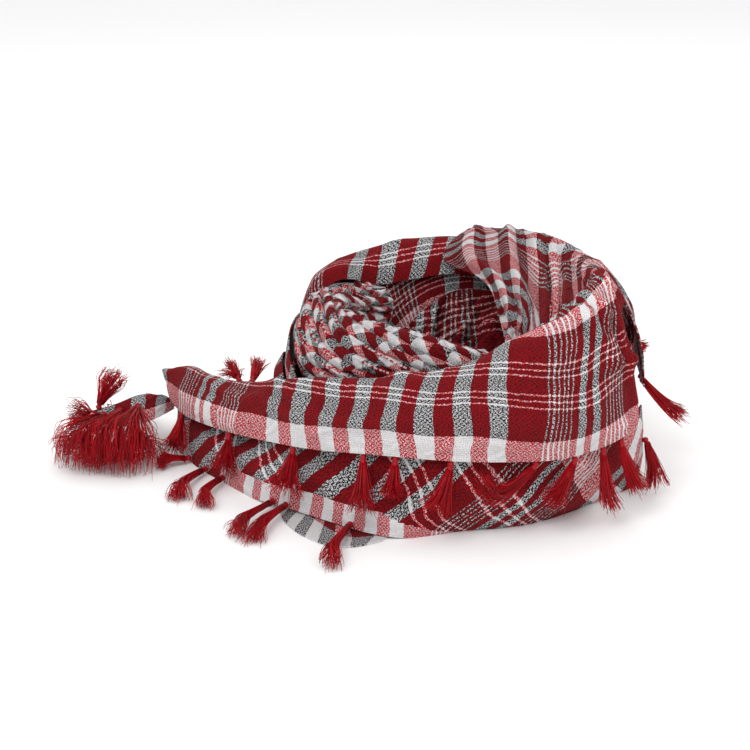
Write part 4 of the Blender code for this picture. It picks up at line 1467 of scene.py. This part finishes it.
@dataclass
class HiddenRing:
    """Layers under the others in the ring, which show only in gaps.

    Attributes:
        rows: sections of the outside, from the foot up and over to the nest's lip.
        cells: counts of cells round the ring and from the foot to the lip.
        floor_cells: count of cells from the middle of the floor to the foot.
        start: place on the cloth of the middle of the floor, in mm.
        lip: length in mm past which small creases show, and those over which they grow and fade.
        seam: distance over which they fade to where the ring closes, in mm.
        crumples: its small creases.
    """

    # Each row: station, foot, belly, shoulder, crest, slope inside, lip of the nest.
    rows: Rows = (
        bend(-90, (138, 0), (141, 28), (137, 54), (130, 71), (112, 80), (86, 86)),
        bend(-45, (132, 0), (136, 34), (130, 66), (118, 83), (90, 87.2), (64, 86)),
        bend(0, (118, 0), (125, 32), (125, 80), (113, 108), (78, 88.6), (56, 83)),
        bend(28, (116, 0), (126, 34), (128.4, 86), (115, 122), (80, 90), (60, 84)),
        bend(55, (118, 0), (128, 36), (129.2, 94), (112, 138), (92, 122), (68, 92)),
        bend(90, (138, 0), (143, 42), (133, 98), (111, 144), (98, 134), (84, 114)),
        bend(135, (136, 0), (141, 44), (133, 104), (115, 148), (103, 134), (88, 116)),
        bend(180, (134, 0), (140, 44), (132.7, 108), (113.4, 157.4), (101, 142), (90, 122)),
        bend(205, (137, 0), (143, 44), (137, 104), (121, 146), (106, 126), (88, 104)),
        bend(225, (140, 0), (146, 42), (141, 94), (132, 126), (108, 100), (82, 92)),
        bend(248, (142, 0), (146, 34), (143, 64), (134, 78), (108, 82), (82, 86)),
    )
    cells: Cells = (160, 50)
    floor_cells: int = 14
    start: Pair = (-417.0, 73.0)
    lip: Three = (190.0, 30.0, 8.0)
    seam: float = 40.0
    crumples: Sequence[Crumple] = (
        Crumple(seed=93, size=18, height=5.0, lean=50, length=2.5),
        Crumple(seed=97, size=9, height=2.0, lean=20, length=2.0),
    )

    def build(self, finish: Any) -> Any:
        """Makes the skin from the middle of the floor to the foot, up and over to the nest's lip.

        Args:
            finish: material of the cloth.

        Returns:
            The new object.
        """
        cloth = Stretch.through(wrapped(self.rows))
        stations = np.linspace(-90, 270, self.cells[0] + 1)
        side = cloth.surface(stations, np.linspace(0, 1, self.cells[1] + 1))
        foot = side[:, :1] * [1.0, 1.0, 0.0]
        reach = np.linspace(0.01, 1.0, self.floor_cells + 1)[None, :-1, None]
        heart = foot.mean(axis=0, keepdims=True)
        points = np.concatenate([heart + (foot - heart) * reach, side], axis=1)
        places = mean_places(points)
        along, across = places[..., 0], places[..., 1]
        length, width = places[-1, -1]
        begin, grow, fade = self.lip
        calm = between(across - begin, width - begin, grow, fade)
        calm = calm * between(along, length, self.seam, self.seam)
        lift = crease_lift(self.crumples, places) * calm
        visible = points[:-1] + grid_facing(points[:-1], True) * lift[:-1, :, None]
        sides = skin(visible, grid_facing(visible, True))
        maps = places[None] + np.array(self.start)
        which = np.zeros((self.cells[0], points.shape[1] - 1), int)
        piece = make_shell("hidden_layers_cloth", sides, maps, which, (True, False), finish)
        return lay_sheet(piece, "hidden_layers")


@dataclass
class TailMound:
    """Crumpled layers under the tail's cloth: half ovals along it, flat on the floor.

    Attributes:
        rows: place along the tail (x), middle (y), half width and height of the mound.
        cells: counts of cells along and round it.
        end: length over which each end rounds off, in mm.
        foot: angle over which the small creases fade towards the floor, in radians.
        start: place on the cloth of the first corner, in mm.
        crumple: its small creases.
    """

    rows: Rows = (
        (-153, -5, 27, 53),
        (-160, -3, 31, 62),
        (-178, 11, 30, 66),
        (-198, 31, 28, 64),
        (-218, 49, 26, 60),
        (-236, 69, 18, 50),
        (-248, 77, 12, 36),
    )
    cells: Cells = (70, 50)
    end: float = 6.0
    foot: float = 0.4
    start: Pair = (40.0, 150.0)
    crumple: Crumple = Crumple(seed=95, size=22, height=1.6, lean=30)

    def build(self, finish: Any) -> Any:
        """Makes the skin, closed on the floor and rounded at its ends.

        Args:
            finish: material of the cloth.

        Returns:
            The new object.
        """
        table = np.array(self.rows, float)[::-1]
        spots = np.linspace(table[0, 0], table[-1, 0], self.cells[0] + 1)
        values = spline_weights(table[:, 0], spots) @ table[:, 1:]
        turns = np.arange(self.cells[1] + 1) * 2 * math.pi / self.cells[1]
        shrink = rounded_end(np.minimum(spots - spots[0], spots[-1] - spots), self.end)[:, None]
        points = np.zeros((len(spots), len(turns), 3))
        points[..., 0] = spots[:, None]
        points[..., 1] = values[:, :1] - values[:, 1:2] * np.cos(turns) * shrink
        points[..., 2] = values[:, 2:3] * np.maximum(np.sin(turns), 0) * shrink
        places = mean_places(points)
        out = grid_facing(points, False)
        lift = self.crumple.lift(places) * shrink * between(turns, math.pi, self.foot, self.foot)
        visible = points + out * lift[..., None]
        sides = skin(visible[:, :-1], out[:, :-1])
        maps = places[None] + np.array(self.start)
        piece = make_shell("tail_mound_cloth", sides, maps, np.zeros(self.cells, int), (False, True), finish)
        return lay_sheet(piece, "tail_mound")


class Hang(Enum):
    """How a tassel's yarns lie."""

    FLARED = "flared"
    CORDED = "corded"
    RUFFLED = "ruffled"


@dataclass
class Tassel:
    """Knotted tassel: a wound head and a bundle of floss that follows its node's middle line.

    Attributes:
        number: number of the node.
        knot: place of the head's start.
        heading: direction that the head points in.
        tip: end of the bundle's middle line.
        bow: how far the middle of the line rises.
        spread: half width of the bundle at its end.
        aside: direction that the head's flat side faces.
        hang: how the yarns lie.
        flare: how many times wider than the node's strands the floss spreads.
        yarns: count of yarns.
        steps: count of steps along a yarn.
        thickness: half width of a yarn near the head, in mm.
        locks: count of locks that the yarns cling together in.
        lowest: least height of a yarn's skin over the floor and range of its middle's, in mm.
        head_size: radius and length of the head, in mm.
        head_cells: counts of cells along and round the head.
        head_shade: number of the head, as a yarn has one.
        head_profile: share of the head's length, and of its radius.
        windings: turns of the yarn wound round the head, and their height as a share.
        foot: share of the head's length at which the floss begins.
    """

    number: int
    knot: Array
    heading: Array
    tip: Array
    bow: float
    spread: float
    aside: Array
    hang: Hang = Hang.FLARED
    flare: float = 1.4
    yarns: int = 136
    steps: int = 9
    thickness: float = 0.30
    locks: int = 7
    lowest: Three = (0.12, 0.6, 3.8)
    head_size: Pair = (2.9, 6.5)
    head_cells: Cells = (14, 14)
    head_shade: float = 0.35
    head_profile: Rows = (
        (0.0, 0.35), (0.12, 0.7), (0.32, 0.98), (0.46, 0.84), (0.62, 0.66), (0.8, 0.86), (1.0, 0.98),
    )
    windings: tuple[int, float] = (5, 0.06)
    foot: float = 0.86

    def middle_line(self, start: Array, heading: Array, t: Array) -> Array:
        """Line from the head to the tip: it leaves along the heading, eases over and may bow up.

        Args:
            start: foot of the head.
            heading: direction that the head points in.
            t: shares of the way.

        Returns:
            Points of the line.
        """
        run = self.tip - start
        pull = heading * np.linalg.norm(run) * STRAND_PULL * t * (1 - t) ** 2
        lift = np.array([0.0, 0.0, self.bow]) * 4 * t * (1 - t)
        return start + pull + run * (1.6 * t - 0.6 * t**2) + lift

    def hung(
        self, t: Array, line: Array, root: Array, stray: Array, cord: Array,
        wave: Array
    ) -> Array:
        """Middles of the yarns, by how they lie.

        Args:
            t: share of the way from the head to the tip.
            line: the yarns' own middle line.
            root: offset of each yarn in the head.
            stray: offset of each yarn in the spread.
            cord: offset of each yarn in the wound plies.
            wave: slow wave of each yarn.

        Returns:
            Points by yarn and step.
        """
        if self.hang is Hang.CORDED:
            grown = ease((t - 0.2) / 0.8) * 0.75
            tight = 1 - ease((t - 0.35) / 0.65) * 0.6
            gather = ease(t / 0.15)
            return line + cord * tight * gather + root * (1 - gather) + stray * grown + wave * 0.7
        if self.hang is Hang.RUFFLED:
            grown = ease((t + 0.1) / 0.55)
            return line + root * (1 - grown) + stray * grown * 1.15 + wave * 1.8
        grown = t**0.75
        return line + root * (1 - grown) + stray * grown + wave * 0.5

    def floss(self, start: Array, axes: tuple[Array, Array, Array]) -> Array:
        """Rings of three points along every yarn from the head to the tip.

        Each yarn is the middle line plus an offset that grows from its place in the head to its place
        in the spread, with a slow wave. A corded bundle first winds as plies and frays at its end, and
        a ruffled one swells early and waves more.

        Args:
            start: foot of the head.
            axes: heading, side and front of the head.

        Returns:
            Points by yarn, step and corner.
        """
        heading, side, front = axes
        draw = np.random.default_rng(1000 + self.number)
        each = (self.yarns, 1, 1)
        t = np.linspace(0, 1, self.steps + 1)[None, :, None]
        ragged = draw.uniform(0.86, 1.03, each) + 0.12 * (draw.uniform(size=each) > 0.94)
        angle = draw.uniform(0, 2 * math.pi, each)
        radius = np.sqrt(draw.uniform(0.02, 1.0, each))
        across, deep = np.cos(angle) * radius, np.sin(angle) * radius
        run = unit(self.tip - start)
        wide = unit(side - run * (side @ run) + 1e-6)
        high = unit(np.cross(wide, run))
        root = (side * across + front * deep) * self.head_size[0] * 0.9
        reach = self.spread * self.flare
        stray = (wide * across + high * deep * FLATNESS) * reach
        lock = draw.integers(0, self.locks, each)
        shift = draw.normal(0.0, 0.30, (self.locks, 2))[lock[:, 0, 0]][:, None]
        stray = stray * 0.72 + (wide * shift[..., :1] + high * shift[..., 1:]) * reach
        ragged = ragged * draw.uniform(0.88, 1.04, self.locks)[lock]
        line = start + (self.middle_line(start, heading, t) - start) * ragged
        phase = draw.uniform(0, 2 * math.pi, each)
        pace = draw.uniform(0.6, 1.6, each) * 2 * math.pi
        way = unit(wide * draw.normal(size=each) + high * draw.normal(size=each))
        wave = way * np.sin(pace * t + phase) * ease(t / 0.4)
        wind = lock * 2.4 + math.pi * 0.9 * t
        cord = (wide * np.cos(wind) + high * np.sin(wind)) * (1.3 + 2.2 * t)
        cord = cord + (wide * across + high * deep) * 1.5
        place = self.hung(t, line, root, stray, cord, wave)
        least, low, top = self.lowest
        place[..., 2] = np.maximum(place[..., 2], low + draw.uniform(0.0, top - low, (self.yarns, 1)))
        along = unit(np.gradient(place, axis=1))
        first = unit(np.cross(along, unit(draw.normal(size=(self.yarns, 1, 3)))))
        second = np.cross(along, first)
        size = (self.thickness * (1.1 - 0.5 * t))[:, :, None]
        corners = (np.arange(3) * 2 * math.pi / 3)[None, None, :, None]
        circle = first[:, :, None] * np.cos(corners) + second[:, :, None] * np.sin(corners)
        ring = place[:, :, None] + size * circle
        ring[..., 2] = np.maximum(ring[..., 2], least)
        return ring

    def join_rings(self, ring: Array, shade: Array) -> tuple[Array, list, Array]:
        """Closed tubes through rings of points.

        Args:
            ring: points by tube, step and corner.
            shade: number of each tube, which its map carries.

        Returns:
            Points, faces and the map of every corner of every face.
        """
        count, rows, sides = ring.shape[:3]
        first = np.arange(count) * rows * sides
        i, k = np.meshgrid(np.arange(rows - 1) * sides, np.arange(sides), indexing="ij")
        after = (k + 1) % sides
        quad = np.stack([i + k, i + after, i + sides + after, i + sides + k], axis=-1)
        quads = (first[:, None, None, None] + quad).reshape(-1, 4)
        loop = np.arange(sides)
        caps = np.concatenate([first[:, None] + loop[::-1], first[:, None] + (rows - 1) * sides + loop])
        corners = (rows - 1) * sides * 4
        tones = np.concatenate([np.repeat(shade, corners), np.repeat(np.tile(shade, 2), sides)])
        maps = np.stack([tones, np.zeros(len(tones))], axis=-1)
        return ring.reshape(-1, 3), quads.tolist() + caps.tolist(), maps

    def head(self, axes: tuple[Array, Array, Array]) -> Array:
        """Rings of the wound head: a turned profile, its radius ridged by the winding.

        Args:
            axes: heading, side and front of the head.

        Returns:
            Points by ring and corner.
        """
        heading, side, front = axes
        size, length = self.head_size
        t = np.linspace(0, 1, self.head_cells[0] + 1)[:, None]
        turns = np.arange(self.head_cells[1])[None] * 2 * math.pi / self.head_cells[1]
        radius = np.interp(t, *np.transpose(self.head_profile))
        count, height = self.windings
        winding = 1 + height * np.sin(2 * math.pi * count * t + turns)
        circle = side * np.cos(turns)[..., None] - front * np.sin(turns)[..., None]
        return (self.knot + heading * length * t)[:, None] + circle * (radius * winding * size)[..., None]

    def build(self, finish: Any) -> Any:
        """Args:
            finish: material of the floss.

        Returns:
            The new object.
        """
        heading = unit(unit(self.heading) + unit(self.tip - self.knot) * KNOT_TURN)
        side = unit(np.cross(heading, self.aside))
        axes = (heading, side, np.cross(side, heading))
        shades = np.random.default_rng(2000 + self.number).uniform(0.0, 1.0, self.yarns)
        points, faces, maps = self.join_rings(self.head(axes)[None], np.array([self.head_shade]))
        start = self.knot + heading * self.head_size[1] * self.foot
        floss, more, more_maps = self.join_rings(self.floss(start, axes), shades)
        faces += [[corner + len(points) for corner in face] for face in more]
        points, maps = np.concatenate([points, floss]), np.concatenate([maps, more_maps])
        node = f"tassel_{self.number:02d}"
        body = make_object(f"{node}_floss", points, faces, maps, finish, rimmed=False)
        declare(body, node)
        return body


@dataclass
class Fringe:
    """All the tassels, placed along the hems of the pieces that they are tied to."""

    # Each row: station on the hem, tip, how far the middle bows up, half spread of the strands.
    wrap: Rows = (
        (-111, (-240, 4, 14), 0, 11),
        (-82, (-200, -48, 20), 0, 15),
        (-58, (-145, -112, 28), 0, 15),
        (-33, (-84, -144, 26), 0, 10),
        (-24, (-62, -150, 40), 0, 10),
        (-5, (-28, -158, 34), 0, 9),
        (22, (8, -154, 50), -8, 10),
        (36, (62, -140, 30), 0, 10),
        (48, (112, -122, 18), 0, 8),
        (55, (141, -104, 26), 0, 9),
    )
    panel: Rows = (
        (-104, (-257, -3, 6), 4, 8),
        (-96, (-234, -72, 4), 5, 11),
        (-86, (-212, -88, 4), 5, 9),
        (-64, (-184, -142, 4), 6, 8),
        (-59, (-166, -150, 4), 6, 9),
        (-35, (-106, -196, 4), 6, 8),
    )
    fan: Rows = (
        (100, (190, 16, 40), 0, 7),
        (115, (164, 68, 84), 0, 7),
        (130, (134, 118, 58), 0, 8),
        (145, (95, 152, 60), 0, 8),
        (160, (50, 170, 62), 0, 8),
        (172, (14, 178, 64), 0, 8),
    )
    corner_front: Rows = (
        (3, (-332, 8, 6), 0, 11),
        (15, (-309, -4, 6), 0, 7),
        (28, (-291, -2, 6), 0, 7),
        (41, (-275, 2, 6), 0, 7),
    )
    corner_back: Rows = (
        (2, (-339, 57, 25), 0, 12),
        (18, (-308, 84, 16), 0, 8),
        (34, (-276, 104, 12), 0, 8),
    )
    # Each row: station, share across, tip, how far the middle bows up, half spread.
    wrap_top: Rows = (
        (-84, 1.0, (-197, 40, 78), 0, 9),
        (-79, 1.0, (-170, 40, 82), 0, 8),
    )
    panel_side: Rows = ((74, 0.62, (154, -62, 8), 0, 8),)
    corner_top: Rows = (
        (8, 0.5, (-292, 42, 72), 0, 9),
        (14, 0.32, (-325, -20, 8), 14, 10),
        (26, 0.32, (-308, -24, 9), 14, 8),
        (40, 0.32, (-287, -28, 9), 14, 8),
    )
    # How many times wider a plain tassel's floss spreads than its node, and how far to the right it falls.
    plain: Pair = (1.4, 0.0)
    # The same for fuller tassels, by their numbers.
    fuller: dict[int, Pair] = field(default_factory=lambda: {
        1: (2.0, -6.0), 26: (2.0, 0.0), 27: (2.0, 0.0), 28: (2.0, 2.0), 29: (2.4, 8.0), 34: (2.0, 2.0),
        35: (2.0, 5.0), 36: (2.4, 12.0),
    })

    def fact(self, *facts: Any) -> dict:
        """Facts of one tassel by the names that Tassel gives them."""
        return dict(zip(("knot", "heading", "aside", "hang", "tip", "bow", "spread"), facts))

    def hem(self, piece: ClothPiece, rows: Rows, share: float = 0.0, hang: Hang = Hang.FLARED) -> list[dict]:
        """Tassels along one edge of a piece: each knot hangs just off the edge, square to it.

        Args:
            piece: cloth that they are tied to.
            rows: their stations, tips, bows and spreads.
            share: 0 for the first edge, 1 for the far one.
            hang: how their yarns lie.

        Returns:
            The facts of each tassel.
        """
        made = []
        inward = EDGE_STEP if share == 0.0 else -EDGE_STEP
        for station, *ends in rows:
            inner, outer = piece.node_sides(station, np.array([share, share + inward]))
            out = unit(outer[0] - inner[0])
            off = unit(inner[0] - inner[1])
            knot = (inner[0] + outer[0]) / 2 + off * HEM_GAP
            made.append(self.fact(knot, off + out * HEM_LEAN, out, hang, *ends))
        return made

    def laid(self, piece: ClothPiece, rows: Rows, hang: Hang = Hang.FLARED) -> list[dict]:
        """Tassels whose knots lie on the outside of a piece."""
        made = []
        for station, share, *ends in rows:
            inner, outer = piece.node_sides(station, np.array([share]))
            out = unit(outer[0] - inner[0])
            knot = outer[0] + out * HEM_GAP
            made.append(self.fact(knot, unit(np.array(ends[0]) - knot) + out, out, hang, *ends))
        return made

    def floor(self, piece: ClothPiece, rows: Rows) -> list[dict]:
        """Tassels along a hem on the floor: each knot lies flat just outside the edge."""
        made = []
        for station, *ends in rows:
            inner, outer = piece.node_sides(station, np.array([FLOOR_KNOT_SHARE]))
            out = unit(outer[0] - inner[0])
            knot = outer[0] + out * FLOOR_KNOT_GAP
            knot[2] = max(knot[2], KNOT_RADIUS + FLOOR_GAP)
            heading = out * [1.0, 1.0, 0.0]
            made.append(self.fact(knot, heading, np.array([0.0, 0.0, 1.0]), Hang.CORDED, *ends))
        return made

    def build(self, pieces: Sequence[ClothPiece], finish: Any) -> list:
        """Makes every tassel in the order of its node's number.

        Args:
            pieces: front wrap, lower panel, pleated fan and tail's corner.
            finish: material of the floss.

        Returns:
            The new objects.
        """
        wrap, panel, fan, corner = pieces
        facts = self.hem(wrap, self.wrap) + self.laid(wrap, self.wrap_top)
        facts += self.floor(panel, self.panel) + self.laid(panel, self.panel_side)
        facts += self.hem(fan, self.fan)
        facts += self.hem(corner, self.corner_front, hang=Hang.RUFFLED)
        facts += self.hem(corner, self.corner_back, share=1.0, hang=Hang.RUFFLED)
        facts += self.laid(corner, self.corner_top, hang=Hang.RUFFLED)
        made = []
        for number, fact in enumerate(facts, 1):
            flare, aside = self.fuller.get(number, self.plain)
            tip = np.array(fact.pop("tip"), float) + [aside, 0.0, 0.0]
            made.append(Tassel(number=number, tip=tip, flare=flare, **fact).build(finish))
        log.info("tassels: %d", len(made))
        return made


@dataclass
class Studio:
    """Pale floor, soft light and the camera.

    Attributes:
        camera_place: place of the camera, in metres.
        pitch: degrees that it looks down.
        lens: its focal length, in mm.
        sensor: width of its sensor, in mm.
        floor_half: half width of the floor, in metres.
        aim: place that every light is turned to, in metres.
        lights: name, place in metres, side in metres and power in watts of each light.
        surroundings: strength of the pale surroundings.
    """

    camera_place: Three = (0.00157, -1.36951, 0.59936)
    pitch: float = 20.5
    lens: float = 84.7
    sensor: float = 36.0
    floor_half: float = 6.0
    aim: Three = (0.0, 0.0, 0.05)
    lights: Rows = (
        ("key", (-0.6, -1.2, 1.7), 1.2, 15.0),
        ("fill", (1.2, -0.8, 1.0), 1.4, 3.0),
        ("back", (0.3, 1.3, 1.5), 1.2, 6.0),
    )
    surroundings: float = 0.92

    def build_floor(self) -> None:
        """Flat pale floor with a faint unevenness of tone."""
        board = Board("pale_floor")
        place = board.node("ShaderNodeTexCoord", {}, {}, 3)
        tone = board.mix(board.noise(place, 1.5, 2.0), (0.95, 0.95, 0.95, 1.0), (0.98, 0.98, 0.98, 1.0))
        finish = board.finish({"Base Color": tone, "Roughness": 0.9, "Specular IOR Level": 0.1})
        half = self.floor_half
        corners = [(-half, -half, 0), (half, -half, 0), (half, half, 0), (-half, half, 0)]
        mesh = bpy.data.meshes.new("floor")
        mesh.from_pydata(corners, [], [(0, 1, 2, 3)])
        mesh.materials.append(finish)
        self.stand("floor", mesh)

    def stand(self, name: str, data: Any) -> Any:
        """Object of a mesh, a lamp or a lens in the scene."""
        body = bpy.data.objects.new(name, data)
        bpy.context.scene.collection.objects.link(body)
        return body

    def build_light(self, name: str, place: tuple, size: float, power: float) -> None:
        """Square area light, turned to the aim.

        Args:
            name: name of the light.
            place: its place, in metres.
            size: its side, in metres.
            power: its power, in watts.
        """
        lamp = bpy.data.lights.new(name, "AREA")
        lamp.energy, lamp.size = power, size
        holder = self.stand(name, lamp)
        holder.location = place
        way = np.array(self.aim) - np.array(place)
        flat = math.hypot(way[0], way[1])
        holder.rotation_euler = (math.atan2(flat, -way[2]), 0.0, math.atan2(way[1], way[0]) - math.pi / 2)

    def build_camera(self) -> None:
        """Level camera that looks down by its pitch."""
        lens = bpy.data.cameras.new("camera")
        lens.lens, lens.sensor_width = self.lens, self.sensor
        camera = self.stand("camera", lens)
        camera.location = self.camera_place
        camera.rotation_euler = (math.radians(90.0 - self.pitch), 0.0, 0.0)
        bpy.context.scene.camera = camera

    def build(self) -> None:
        """Makes the floor, the lights, the pale surroundings and the camera."""
        self.build_floor()
        for light in self.lights:
            self.build_light(*light)
        world = bpy.data.worlds.new("pale_room")
        world.use_nodes = True
        sky = world.node_tree.nodes["Background"]
        sky.inputs["Color"].default_value = (1.0, 1.0, 1.0, 1.0)
        sky.inputs["Strength"].default_value = self.surroundings
        bpy.context.scene.world = world
        bpy.context.scene.view_settings.view_transform = "Standard"
        self.build_camera()


def main() -> None:
    """Builds the finishes, every stretch of cloth, the tassels and the studio."""
    logging.basicConfig(level=logging.INFO, format="%(name)s: %(message)s")
    cotton = CheckFinish().build()
    # Darker copies of the same cloth: painted shade for the nest's lining, the hidden layers, the tail's
    # mound and the pleated fan.
    painted_deep_shade_cotton = CheckFinish(name="woven_check_painted_deep_shade", light=0.68).build()
    painted_fan_shade_cotton = CheckFinish(name="woven_check_painted_fan_shade", light=0.78).build()
    floss = YarnFinish().build()
    wrap, panel, fan, corner = FrontWrap(), LowerPanel(), PleatFan(), TailCorner()
    for piece in (BackWrap(), wrap, panel, UnderLayer(), SideLoop(), SmallLoop(), corner):
        piece.build(cotton)
    fan.build(painted_fan_shade_cotton)
    NestLining().build(painted_deep_shade_cotton)
    TwistedStrand().build(cotton)
    HiddenRing().build(painted_deep_shade_cotton)
    TailMound().build(painted_deep_shade_cotton)
    Fringe().build((wrap, panel, fan, corner), floss)
    Studio().build()


if __name__ == "__main__":
    main()
